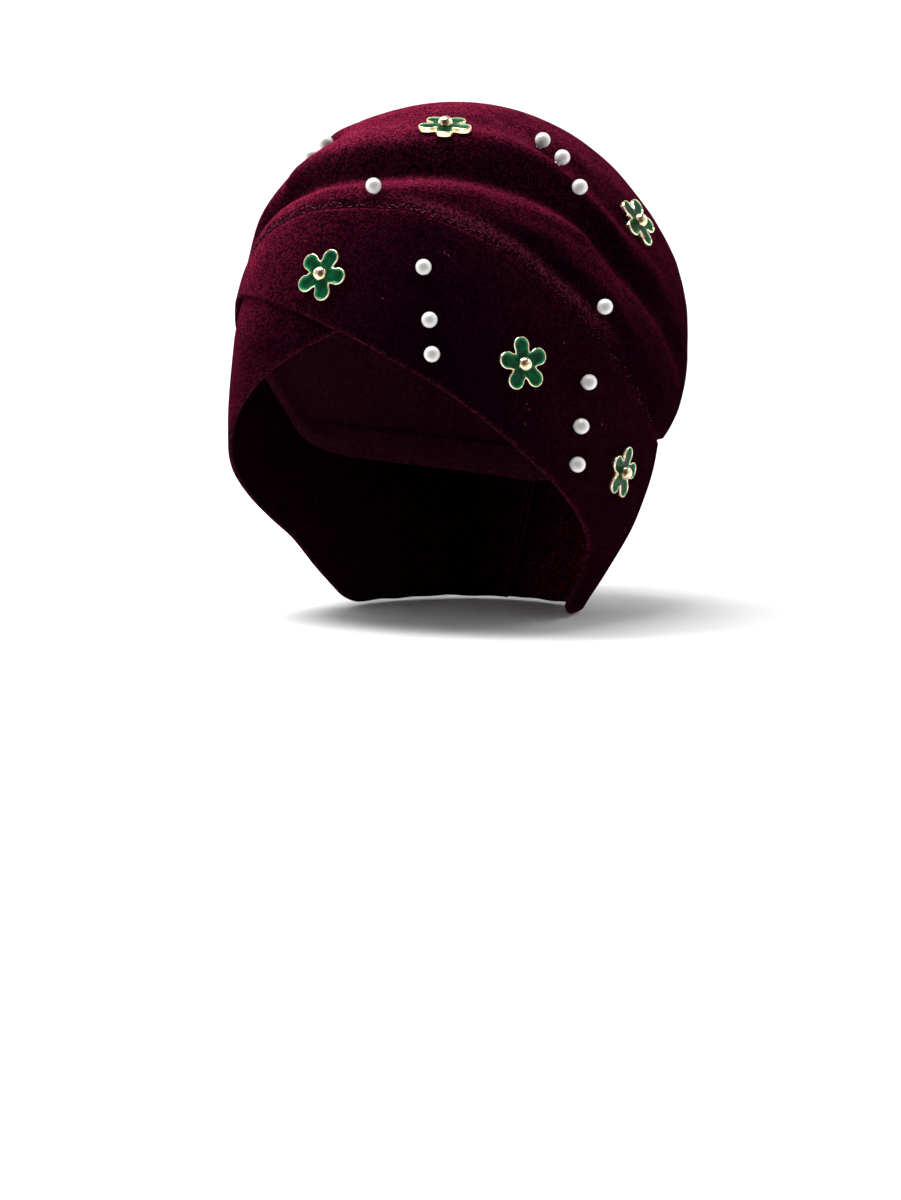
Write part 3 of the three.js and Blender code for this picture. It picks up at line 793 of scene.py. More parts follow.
class Paint:
    """A material under construction."""

    def __init__(self, name: str) -> None:
        """Start an empty material."""
        self.material = bpy.data.materials.new(name)
        self.material.use_nodes = True
        self.tree = self.material.node_tree
        self.tree.nodes.clear()

    def node(
        self,
        kind: str,
        settings: Dict[str, object],
        inputs: Dict[Union[int, str], object],
        output: Union[int, str] = 0,
    ) -> Signal:
        """Add a node, set it up and fill its sockets.

        Args:
            kind: the node's type.
            settings: its own settings, and "stops" for a ramp's positions and colours.
            inputs: a value or a signal for each socket.
            output: which output to return.

        Returns:
            The chosen output.
        """
        made = self.tree.nodes.new(kind)
        for key, value in settings.items():
            if key == "stops":
                self._set_stops(made, value)
            else:
                setattr(made, key, value)
        for key, value in inputs.items():
            if isinstance(value, Signal):
                self.tree.links.new(value.socket, made.inputs[key])
            else:
                made.inputs[key].default_value = value
        return Signal(self, made.outputs[output]) if len(made.outputs) else None

    def _set_stops(self, made: bpy.types.Node, stops: Stops) -> None:
        """Give a ramp its two stops.

        Args:
            made: the ramp's node.
            stops: each stop's position and grey value.
        """
        for element, (position, value) in zip(made.color_ramp.elements, stops):
            element.position = position
            element.color = (value, value, value, 1)

    def place(self) -> Signal:
        """Give the place on the piece, in object coordinates."""
        return self.node("ShaderNodeTexCoord", {}, {}, "Object")

    def noise(self, scale: float, detail: float, roughness: float, offset: float = 0.0) -> Signal:
        """Give a soft random pattern.

        Args:
            scale: how many patches fit in a metre.
            detail: how many finer patterns lie on it.
            roughness: how strong those are.
            offset: how far it is moved, so that two patterns differ.

        Returns:
            The pattern, from 0 to 1.
        """
        moved = {"Vector": self.place(), "Location": (offset, offset, offset)}
        shifted = self.node("ShaderNodeMapping", {}, moved)
        fill = {"Vector": shifted, "Scale": scale, "Detail": detail, "Roughness": roughness}
        return self.node("ShaderNodeTexNoise", {}, fill, 0)

    def attribute(self, name: str) -> Signal:
        """Read a number stored on the piece's points."""
        settings = {"attribute_name": name, "attribute_type": "GEOMETRY"}
        return self.node("ShaderNodeAttribute", settings, {}, "Fac")

    def ramp(self, value: Signal, stops: Stops) -> Signal:
        """Pass a value through a ramp of greys."""
        return self.node("ShaderNodeValToRGB", {"stops": stops}, {0: value})

    def blend(self, factor: Operand, first: object, second: object) -> Signal:
        """Mix two colours."""
        fill = {0: factor, 6: self._colour(first), 7: self._colour(second)}
        return self.node("ShaderNodeMix", {"data_type": "RGBA"}, fill, 2)

    def _colour(self, value: object) -> object:
        """Give a colour its fourth number."""
        return value if isinstance(value, Signal) else (*value, 1.0)

    def bump(self, height: Signal, strength: float, distance: float) -> Signal:
        """Turn a height pattern into surface relief."""
        return self.node("ShaderNodeBump", {}, {"Height": height, "Strength": strength, "Distance": distance})

    def facing(self, relief: Optional[Signal] = None) -> Signal:
        """Give how far the surface turns away from the eye, from 0 to 1."""
        bent = {} if relief is None else {"Normal": relief}
        return self.node("ShaderNodeLayerWeight", {}, {"Blend": 0.5, **bent}, "Facing")

    def join(self, factor: Signal, first: Signal, second: Signal) -> Signal:
        """Mix two shaders."""
        return self.node("ShaderNodeMixShader", {}, {0: factor, 1: first, 2: second})

    def close(self, shader: Signal) -> bpy.types.Material:
        """Send a shader to the material's output."""
        self.node("ShaderNodeOutputMaterial", {}, {0: shader})
        return self.material


def principled(paint: Paint, **sockets: object) -> Signal:
    """Add the main surface shader, each socket named in words joined by underscores."""
    names = {key.replace("_", " "): value for key, value in sockets.items()}
    return paint.node("ShaderNodeBsdfPrincipled", {}, names)


# Finishes


@dataclass(frozen=True)
class VelvetPile:
    """Short wine-red pile, nearly black from straight on and bright where it is seen along the pile, with
    painted light and painted sheen mixed in.
    """

    # colours of the dark copy and the lit copy of the velvet, mixed by view angle, painted light and painted
    # sheen
    deep: Colour = (0.0012, 0.00015, 0.0012)
    deep_tuft: Colour = (0.0045, 0.0004, 0.0026)
    lit: Colour = (0.022, 0.0011, 0.006)
    lit_tuft: Colour = (0.36, 0.024, 0.07)
    # colour of the painted sheen on edges and along the seam
    painted_sheen_colour: Colour = (0.2, 0.025, 0.055)
    sheen: Colour = (0.42, 0.03, 0.095)
    sheen_weight: float = 0.25
    sheen_roughness: float = 0.3
    speckles: float = 1350.0
    tufts: float = 702.0
    patches: float = 60.0
    # shares of the specks, the tufts and the patches
    colour_mix: Span = (0.75, 0.25)
    relief_mix: Triple = (0.65, 0.35, 0.8)
    tuft_stops: Stops = ((0.46, 0.0), (0.56, 1.0))
    brushed_stops: Stops = ((0.3, 0.45), (0.7, 1.0))
    relief_strength: float = 0.8
    relief_depth: float = 0.0007
    # the painted sheen: its tint in the base colour, its pull towards the lit copy and that pull's share
    # level, and share that follows the tufts
    edge_tint: Span = (0.35, 0.65)
    edge_catch: Span = (0.3, 1.4)
    edge_share: float = 0.11
    grazing_power: float = 1.5
    # how strongly the painted light pulls the velvet towards its lit copy
    catch_power: float = 1.8
    catch_gain: float = 1.65

    def build(self) -> bpy.types.Material:
        """Make the velvet's material.

        Returns:
            The material, which reads its painted light and its painted sheen from the piece's points.
        """
        paint = Paint("wine_velvet")
        speckle = paint.noise(self.speckles, detail=2.0, roughness=0.7)
        tufts = paint.noise(self.tufts, detail=2.0, roughness=0.6, offset=7.7)
        patch = paint.noise(self.patches, detail=3.0, roughness=0.55, offset=3.1)
        amount = paint.ramp(speckle * self.colour_mix[0] + tufts * self.colour_mix[1], self.tuft_stops)
        brushed = paint.ramp(patch, self.brushed_stops)
        # painted sheen on hems, just above the seam and on the crown's rolls
        edge = paint.attribute("painted_sheen")
        height = speckle * self.relief_mix[0] + tufts * self.relief_mix[1] + patch * self.relief_mix[2]
        relief = paint.bump(height, self.relief_strength, self.relief_depth)
        deep = principled(
            paint,
            Base_Color=paint.blend(amount, self.deep, self.deep_tuft),
            Roughness=1.0,
            Specular_IOR_Level=0.0,
            Normal=relief,
        )
        pile = paint.blend(amount * brushed, self.lit, self.lit_tuft)
        # the painted sheen lightens the base colour towards its own colour
        tint = edge * (self.edge_tint[0] + self.edge_tint[1] * amount)
        lit = principled(
            paint,
            Base_Color=paint.blend(tint, pile, self.painted_sheen_colour),
            Roughness=1.0,
            Specular_IOR_Level=0.0,
            Sheen_Weight=self.sheen_weight,
            Sheen_Roughness=self.sheen_roughness,
            Sheen_Tint=(*self.sheen, 1.0),
            Normal=relief,
        )
        # painted light from the way each point faces
        caught = self.catch_gain * paint.attribute("painted_light") ** self.catch_power
        # the painted sheen also pulls the velvet towards its lit copy
        on_edge = edge * self.edge_share * (self.edge_catch[0] + self.edge_catch[1] * amount)
        along_pile = paint.facing(relief) ** self.grazing_power * caught + on_edge
        return paint.close(paint.join(along_pile, deep, lit))


@dataclass(frozen=True)
class KnitBack:
    """The velvet's matt knitted back, seen inside the cap."""

    dark: Colour = (0.03, 0.003, 0.01)
    light: Colour = (0.085, 0.012, 0.03)
    sheen: Colour = (0.5, 0.06, 0.13)
    loops: float = 900.0
    loop_stretch: Triple = (1.0, 1.0, 0.45)
    loop_stops: Stops = ((0.05, 1.0), (0.55, 0.0))
    mottles: float = 120.0
    # level, and share that follows the mottle
    loop_tint: Span = (0.5, 0.5)

    def build(self) -> bpy.types.Material:
        """Make the material of the cloth's back.

        Returns:
            The material.
        """
        paint = Paint("knit_back")
        stretched = paint.node("ShaderNodeMapping", {}, {"Vector": paint.place(), "Scale": self.loop_stretch})
        loops = paint.node("ShaderNodeTexVoronoi", {}, {"Vector": stretched, "Scale": self.loops}, "Distance")
        mottle = paint.noise(self.mottles, detail=3.0, roughness=0.6, offset=1.3)
        knit = paint.ramp(loops, self.loop_stops)
        tint = knit * (self.loop_tint[0] + self.loop_tint[1] * mottle)
        colour = paint.blend(tint, self.dark, self.light)
        shader = principled(
            paint,
            Base_Color=colour,
            Roughness=0.95,
            Specular_IOR_Level=0.03,
            Sheen_Weight=0.15,
            Sheen_Roughness=0.6,
            Sheen_Tint=(*self.sheen, 1.0),
            Normal=paint.bump(knit, strength=0.5, distance=0.0003),
        )
        return paint.close(shader)


@dataclass(frozen=True)
class SewingThread:
    """Thread of the overlocked seam, paler where the pile is worn off it."""

    dark: Colour = (0.03, 0.002, 0.008)
    pale: Colour = (0.36, 0.08, 0.13)
    sheen: Colour = (0.7, 0.2, 0.3)
    twists: float = 2600.0
    # level, and share that follows the twist
    twist_tint: Span = (0.6, 0.6)

    def build(self) -> bpy.types.Material:
        """Make the thread's material.

        Returns:
            The material.
        """
        paint = Paint("sewing_thread")
        twist = paint.noise(self.twists, detail=1.0, roughness=0.5, offset=5.0)
        tint = paint.attribute("tone") * (self.twist_tint[0] + self.twist_tint[1] * twist)
        colour = paint.blend(tint, self.dark, self.pale)
        shader = principled(
            paint,
            Base_Color=colour,
            Roughness=0.8,
            Specular_IOR_Level=0.15,
            Sheen_Weight=0.15,
            Sheen_Tint=(*self.sheen, 1.0),
            Normal=paint.bump(twist, strength=0.4, distance=0.0001),
        )
        return paint.close(shader)


@dataclass(frozen=True)
class PaleGilt:
    """Polished pale gold plating with faint handling marks, and on a ball a painted brown reflection in the
    middle, where it faces the eye.
    """

    bright: Colour = (0.93, 0.86, 0.64)
    warm: Colour = (0.76, 0.6, 0.34)
    # painted dark reflection in a ball's middle, where it faces the eye
    painted_reflection_brown: Colour = (0.13, 0.06, 0.018)
    clouds: float = 420.0
    cloud_stops: Stops = ((0.35, 0.0), (0.75, 1.0))
    scuffs: float = 2400.0
    rim_stops: Stops = ((0.03, 0.0), (0.16, 1.0))
    rim_stray: float = 0.25
    # level, and share that follows the scuffs
    dullness: Span = (0.1, 0.12)

    def build(self, name: str, ball: bool) -> bpy.types.Material:
        """Make the plating's material.

        Args:
            name: the material's name.
            ball: whether it is for the round beads.

        Returns:
            The material.
        """
        paint = Paint(name)
        cloudy = paint.noise(self.clouds, detail=3.0, roughness=0.6, offset=2.0)
        scuffs = paint.noise(self.scuffs, detail=2.0, roughness=0.7, offset=9.0)
        colour = paint.blend(paint.ramp(cloudy, self.cloud_stops), self.bright, self.warm)
        relief = paint.bump(cloudy, strength=0.12, distance=0.0002)
        roughness = self.dullness[0] + self.dullness[1] * scuffs
        polish = {"Metallic": 1.0, "Roughness": roughness, "Normal": relief}
        plating = principled(paint, Base_Color=colour, **polish)
        if not ball:
            return paint.close(plating)
        # painted brown reflection in the ball's middle, where it faces the eye, and plain plating towards its
        # rim
        depth = principled(paint, Base_Color=(*self.painted_reflection_brown, 1.0), **polish)
        rim = paint.ramp(paint.facing(relief) + self.rim_stray * (cloudy - 0.5), self.rim_stops)
        return paint.close(paint.join(rim, depth, plating))


@dataclass(frozen=True)
class GreenEnamel:
    """Glossy green enamel, darker towards its dished middle and lighter where it stands high, clouded by fine
    bubbles.
    """

    low_glaze: Colour = (0.0003, 0.022, 0.008)
    high_glaze: Colour = (0.002, 0.24, 0.075)
    clouds: float = 260.0
    bubbles: float = 3000.0
    # shares of how high the enamel's face stands and of the clouds
    colour_mix: Span = (0.7, 0.5)
    colour_stops: Stops = ((0.22, 0.0), (0.85, 1.0))
    coat: float = 0.5
    coat_power: float = 2.5

    def build(self) -> bpy.types.Material:
        """Make the enamel's material.

        Returns:
            The material.
        """
        paint = Paint("green_enamel")
        cloud = paint.noise(self.clouds, detail=3.0, roughness=0.6, offset=4.0)
        bubbles = paint.noise(self.bubbles, detail=1.0, roughness=0.5, offset=6.0)
        glaze_rise = paint.attribute("high_glaze") * self.colour_mix[0] + cloud * self.colour_mix[1]
        colour = paint.blend(paint.ramp(glaze_rise, self.colour_stops), self.low_glaze, self.high_glaze)
        shader = principled(
            paint,
            Base_Color=colour,
            Roughness=0.14 + 0.06 * bubbles,
            Specular_IOR_Level=0.04,
            Coat_Weight=self.coat * (1 - paint.facing()) ** self.coat_power,
            Coat_Roughness=0.035,
            Coat_IOR=1.38,
            Normal=paint.bump(cloud, strength=0.15, distance=0.0003),
        )
        return paint.close(shader)


@dataclass(frozen=True)
class PearlLustre:
    """Imitation pearl: a milky body under glossy lacquer, with a painted grey reflection in its middle, where
    it faces the eye, and lighter towards its rim.
    """

    # painted grey reflection in the middle, where the pearl faces the eye
    painted_reflection_grey: Colour = (0.33, 0.32, 0.31)
    rim: Colour = (0.74, 0.73, 0.7)
    cloud: Colour = (0.6, 0.585, 0.57)
    clouds: float = 700.0
    cloud_stops: Stops = ((0.3, 0.0), (0.8, 1.0))
    painted_reflection_stops: Stops = ((0.02, 0.0), (0.32, 1.0))

    def build(self) -> bpy.types.Material:
        """Make the pearl's material.

        Returns:
            The material.
        """
        paint = Paint("pearl_lustre")
        milky = paint.noise(self.clouds, detail=2.0, roughness=0.5, offset=8.0)
        outer = paint.blend(paint.ramp(milky, self.cloud_stops), self.rim, self.cloud)
        relief = paint.bump(milky, strength=0.05, distance=0.0002)
        shaders = []
        for colour in ((*self.painted_reflection_grey, 1.0), outer):
            shader = principled(
                paint,
                Base_Color=colour,
                Roughness=0.2 + 0.08 * milky,
                Specular_IOR_Level=0.6,
                Coat_Weight=0.9,
                Coat_Roughness=0.05,
                Normal=relief,
            )
            shaders.append(shader)
        # painted reflection: grey in the middle where the pearl faces the eye, lighter towards its rim
        depth = paint.ramp(paint.facing(), self.painted_reflection_stops)
        return paint.close(paint.join(depth, *shaders))


@dataclass(frozen=True)
class PaleBackdrop:
    """Matt white paper of the backdrop."""

    paper: Colour = (0.86, 0.86, 0.865)

    def build(self) -> bpy.types.Material:
        """Make the backdrop's material.

        Returns:
            The material.
        """
        paint = Paint("pale_backdrop")
        shader = principled(paint, Base_Color=(*self.paper, 1.0), Roughness=0.9, Specular_IOR_Level=0.1)
        return paint.close(shader)


@dataclass
class Wardrobe:
    """All finishes, each made once."""

    velvet: bpy.types.Material = field(default_factory=lambda: VelvetPile().build())
    knit: bpy.types.Material = field(default_factory=lambda: KnitBack().build())
    thread: bpy.types.Material = field(default_factory=lambda: SewingThread().build())
    gilt: bpy.types.Material = field(default_factory=lambda: PaleGilt().build("pale_gilt", False))
    bead_gilt: bpy.types.Material = field(default_factory=lambda: PaleGilt().build("pale_gilt_bead", True))
    enamel: bpy.types.Material = field(default_factory=lambda: GreenEnamel().build())
    pearl: bpy.types.Material = field(default_factory=lambda: PearlLustre().build())
    backdrop: bpy.types.Material = field(default_factory=lambda: PaleBackdrop().build())


def settle(piece: bpy.types.Object, nodes: Sequence[str]) -> bpy.types.Object:
    """Let a piece ride on the cap and stand for its nodes.

    Args:
        piece: the finished piece.
        nodes: the solids it replaces, which may be none.

    Returns:
        The piece.
    """
    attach(piece, "root")
    if nodes:
        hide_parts(*nodes)
    log.info("%s: %d faces", piece.name, len(piece.data.polygons))
    return piece


# Cloth pieces


@dataclass
class Crown:
    """The puffy gathered top, one cloth with its back showing inside."""

    form: CrownForm
    wardrobe: Wardrobe
    columns: int = 252
    rows: int = 132
    tuck_rows: int = 8
    # level, and share that grows towards the top
    row_spacing: Span = (0.72, 0.28)
    wall: float = 1.3
    # a painted sheen just above the seam
    painted_seam_sheen: float = 0.4
    painted_seam_sheen_reach: float = 2.2
    # a painted highlight streak just above the seam
    streak: float = 1.7
    streak_rise: float = 4.4
    streak_width: float = 2.8
    streak_slant: float = 0.05
    streak_middle: float = 35.0
    streak_from: Span = (4.0, 28.0)
    streak_to: Span = (54.0, 76.0)
    # painted light on the shaded underside of the upper roll
    painted_roll_light: float = 0.42
    painted_roll_light_middle: float = 4.0
    painted_roll_light_width: float = 3.5
    painted_roll_light_from: Span = (-45.0, -20.0)
    painted_roll_light_to: Span = (60.0, 80.0)
    flat: Span = (0.26, 0.27)
    flat_area: float = 0.0617

    def lengths(self, azimuth: Array) -> Array:
        """Give the cloth length from the seam for each row of each column.

        Args:
            azimuth: the columns' azimuths.

        Returns:
            Lengths upwards, or below zero down behind the bands.
        """
        whole = np.radians(90 - self.form.seam_latitude(azimuth)) * self.form.arc_radius
        below = np.linspace(-self.form.tuck, 0, self.tuck_rows, endpoint=False)
        share = np.linspace(0, 1, self.rows, endpoint=False)
        share = share * (self.row_spacing[0] + self.row_spacing[1] * share)
        above = share[None, :] * whole[:, None]
        return np.concatenate([np.repeat(below[None, :], len(azimuth), 0), above], 1)

    def painted_highlight_streak(self, azimuth: Array, above: Array) -> Array:
        """Give the painted highlight: a bright streak just above the seam, at the wearer's left brow.

        Args:
            azimuth: the columns' azimuths.
            above: the cloth length from the seam for each row of each column.

        Returns:
            The streak's share of the painted sheen at each point.
        """
        place = smoothstep(*self.streak_from, azimuth) * (1 - smoothstep(*self.streak_to, azimuth))
        rise = self.streak_rise + self.streak_slant * (azimuth[:, None] - self.streak_middle)
        return self.streak * place[:, None] * np.exp(-(((above - rise) / self.streak_width) ** 2))

    def painted_light_under_roll(self, azimuth: Array, above: Array) -> Array:
        """Give the painted light that lightens the shaded underside of the upper roll.

        Args:
            azimuth: the columns' azimuths.
            above: the cloth length from the seam for each row of each column.

        Returns:
            The painted light's share of the painted sheen at each point.
        """
        latitude = self.form.seam_latitude(azimuth)[:, None] + np.degrees(above / self.form.arc_radius)
        over = latitude - curve(SHADE_UNDER_ROLL, azimuth)[..., :1] - self.painted_roll_light_middle
        front = smoothstep(*self.painted_roll_light_from, azimuth) * (1 - smoothstep(*self.painted_roll_light_to, azimuth))
        return self.painted_roll_light * front[:, None] * np.exp(-((over / self.painted_roll_light_width) ** 2))

    def build(self) -> bpy.types.Object:
        """Make the crown's closed cloth.

        Returns:
            The finished piece.
        """
        azimuth = np.linspace(-180, 180, self.columns, endpoint=False)
        above = self.lengths(azimuth)
        count = above.shape[1]
        outer = self.form.point(np.repeat(azimuth[:, None], count, 1), above)
        inner = outer - self.wall * grid_normals(outer)
        top = np.array([[0.0, self.form.head.axis_y, self.form.base + self.form.height]])
        under_top = top - [[0.0, 0.0, self.wall]]
        points = np.concatenate([outer.reshape(-1, 3), inner.reshape(-1, 3), top, under_top])
        second = self.columns * count
        faces = grid_faces(self.columns, count, 0, flipped=False)
        inside = grid_faces(self.columns, count, second, flipped=True)
        rim, cap, under_cap = [], [], []
        for i in range(self.columns):
            a, b = i * count, ((i + 1) % self.columns) * count
            rim.append([a, second + a, second + b, b])
            cap.append([a + count - 1, b + count - 1, 2 * second])
            under_cap.append([second + b + count - 1, second + a + count - 1, 2 * second + 1])
        piece = mesh_object("crown_cloth", points, faces + cap + rim + inside + under_cap)
        piece.data.materials.append(self.wardrobe.velvet)
        piece.data.materials.append(self.wardrobe.knit)
        backs = np.zeros(len(piece.data.polygons), np.int32)
        backs[len(faces) + len(cap) :] = 1
        piece.data.polygons.foreach_set("material_index", backs)
        # painted light from the way each point faces
        PaintedFacingLight().store(piece)
        # painted sheen just above the seam, painted light under the upper roll and a painted highlight streak
        painted_sheen = np.exp(-((np.maximum(above, 0) / self.painted_seam_sheen_reach) ** 2)) * self.painted_seam_sheen
        painted_sheen = painted_sheen + self.painted_light_under_roll(azimuth, above) + self.painted_highlight_streak(azimuth, above)
        set_attribute(piece, "painted_sheen", np.concatenate([painted_sheen.ravel(), 0 * painted_sheen.ravel(), [0, 0]]))
        settle(piece, ["crown"])
        return piece


@dataclass
class Band:
    """One velvet band, folded double, with a rounded hem and a rounded top edge."""

    form: BandForm
    wardrobe: Wardrobe
    name: str
    node: str
    flat_area: float
    columns: int = 330
    rows: int = 40
    round_steps: int = 5
    thickness: float = 2.0
    seam_gap: float = 0.16
    seam_dent: float = 0.7
    seam_dent_reach: float = 2.2
    hem_wave: float = 0.28
    wave_rounds: Span = (13.0, 5.3)
    wave_start: float = 1.1
    wave_span: Span = (4.0, 12.0)
    thinnest: float = 0.45
    # painted sheen along the rounded hem
    painted_sheen_reach: float = 1.1
    painted_sheen_depth: float = 0.75
    # painted light from the way each point faces
    painted_light: PaintedFacingLight = PaintedFacingLight()
    flat: Span = (0.1, 0.44)

    def loop(self, azimuth: Array) -> Tuple[Array, Array, Array]:
        """Give the band's section as one closed loop at each azimuth.

        Args:
            azimuth: the columns' azimuths.

        Returns:
            Height, depth and nearness to the hem for each point of each loop.
        """
        hem, top = self.form.limits(azimuth)
        angle = np.radians(azimuth)
        fine, broad = self.wave_rounds
        wave = self.hem_wave * np.sin(angle * fine + self.wave_start) * np.sin(angle * broad)
        hem = hem + wave * smoothstep(*self.wave_span, top - hem)
        half = np.minimum(self.thickness / 2, self.thinnest * (top - hem))
        share = np.linspace(0, 1, self.rows)
        face = (hem + half)[:, None] + share[None, :] * (top - hem - 2 * half)[:, None]
        turn = np.linspace(0, math.pi, self.round_steps + 2)[1:-1]
        over = (top - half)[:, None] + half[:, None] * np.sin(turn)[None, :]
        under = (hem + half)[:, None] - half[:, None] * np.sin(turn)[None, :]
        round_depth = self.thickness / 2 - half[:, None] * np.cos(turn)[None, :]
        near = np.repeat((self.thickness / 2 - half)[:, None], self.rows, 1)
        far = np.repeat((self.thickness / 2 + half)[:, None], self.rows, 1)
        height = np.concatenate([face, over, face[:, ::-1], under], 1)
        depth = np.concatenate([near, round_depth, far, round_depth[:, ::-1]], 1)
        return height, depth, height - hem[:, None]

    def build(self) -> bpy.types.Object:
        """Make the band's closed cloth.

        Returns:
            The finished piece.
        """
        tip = self.form.side.value * self.form.hem[0][0]
        end = self.form.side.value * (180 - self.seam_gap)
        azimuth = np.linspace(min(tip, end), max(tip, end), self.columns)
        height, depth, from_hem = self.loop(azimuth)
        to_seam = np.abs(np.abs(azimuth) - 180)
        dent = self.seam_dent * np.exp(-((to_seam / self.seam_dent_reach) ** 2))
        count = height.shape[1]
        grid = self.form.point(np.repeat(azimuth[:, None], count, 1), height, depth + dent[:, None])
        piece = mesh_object(self.name, grid.reshape(-1, 3), self._faces(count))
        piece.data.materials.append(self.wardrobe.velvet)
        self.painted_light.store(piece)
        # painted sheen along the rounded hem, on the outer half of the loop
        outer_half = np.where(depth < self.thickness * self.painted_sheen_depth, 1.0, 0.0)
        painted_sheen = np.exp(-((from_hem / self.painted_sheen_reach) ** 2)) * outer_half
        set_attribute(piece, "painted_sheen", painted_sheen)
        settle(piece, [self.node])
        return piece

    def _faces(self, count: int) -> List[List[int]]:
        """List the band's faces: the swept loop and its two closed ends.

        Args:
            count: how many points a loop has.

        Returns:
            The point numbers of each face.
        """
        i, j = np.meshgrid(np.arange(self.columns - 1), np.arange(count), indexing="ij")
        following = (j + 1) % count
        a, b = i * count, (i + 1) * count
        swept = np.stack([a + j, b + j, b + following, a + following], -1).reshape(-1, 4).tolist()
        far_hem = 2 * self.rows + self.round_steps - 1
        ends = [[j, j + 1, far_hem - j - 1, far_hem - j] for j in range(self.rows - 1)]
        ends.append(list(range(self.rows - 1, self.rows + self.round_steps + 1)))
        ends.append(list(range(far_hem, count)) + [0])
        last = (self.columns - 1) * count
        closing = [[last + k for k in reversed(face)] for face in ends]
        return swept + ends + closing


# Stitching


@dataclass
class Stitches:
    """Rows of small thread stitches, all alike, laid along a line of the cloth."""

    wardrobe: Wardrobe
    name: str
    half_length: float = 0.62
    thread: float = 0.095
    arch: float = 0.05
    sides: int = 5

    def stitch(self) -> Tuple[Array, List[List[int]]]:
        """Model one arched stitch by extruding a small ring.

        Returns:
            The stitch's points in millimetres, lying along X, and its faces.
        """
        deselect_all()
        turn = (0.0, math.pi / 2, 0.0)
        bpy.ops.mesh.primitive_circle_add(
            vertices=self.sides, radius=self.thread * 0.5, fill_type="NGON", location=(0, 0, 0), rotation=turn
        )
        ring = bpy.context.object
        bpy.ops.object.transform_apply(location=False, rotation=True, scale=False)
        bpy.ops.object.mode_set(mode="EDIT")
        bpy.ops.mesh.select_all(action="SELECT")
        step = self.half_length / 2
        widths = (2.0, 1.15, 0.87, 0.5)
        rises = (self.arch, self.arch * 0.5, -self.arch * 0.5, -self.arch)
        for width, rise in zip(widths, rises):
            bpy.ops.mesh.extrude_region_move(TRANSFORM_OT_translate={"value": (step, 0, rise)})
            bpy.ops.transform.resize(value=(width, width, width))
        bpy.ops.mesh.select_all(action="SELECT")
        bpy.ops.mesh.normals_make_consistent(inside=False)
        bpy.ops.object.mode_set(mode="OBJECT")
        points = np.array([vertex.co for vertex in ring.data.vertices])
        faces = [list(face.vertices) for face in ring.data.polygons]
        bpy.data.objects.remove(ring)
        points[:, 0] -= self.half_length
        return points, faces

    def lay(self, middles: Array, along: Array, out: Array, tones: Array) -> bpy.types.Object:
        """Lay stitches at given places.

        Args:
            middles: the stitches' middles, in millimetres.
            along: the directions that they lie in.
            out: the directions that they arch towards.
            tones: how pale each is, from 0 to 1.

        Returns:
            The finished piece.
        """
        points, faces = self.stitch()
        along = of_length_one(along)
        aside = of_length_one(np.cross(out, along))
        up = np.cross(along, aside)
        basis = np.stack([along, aside, up], 1)
        placed = np.einsum("pk,nkc->npc", points, basis) + middles[:, None, :]
        numbers = [[k * len(points) + v for v in face] for k in range(len(middles)) for face in faces]
        piece = mesh_object(self.name, placed.reshape(-1, 3), numbers)
        piece.data.materials.append(self.wardrobe.thread)
        set_attribute(piece, "tone", np.repeat(tones, len(points)))
        return settle(piece, [])


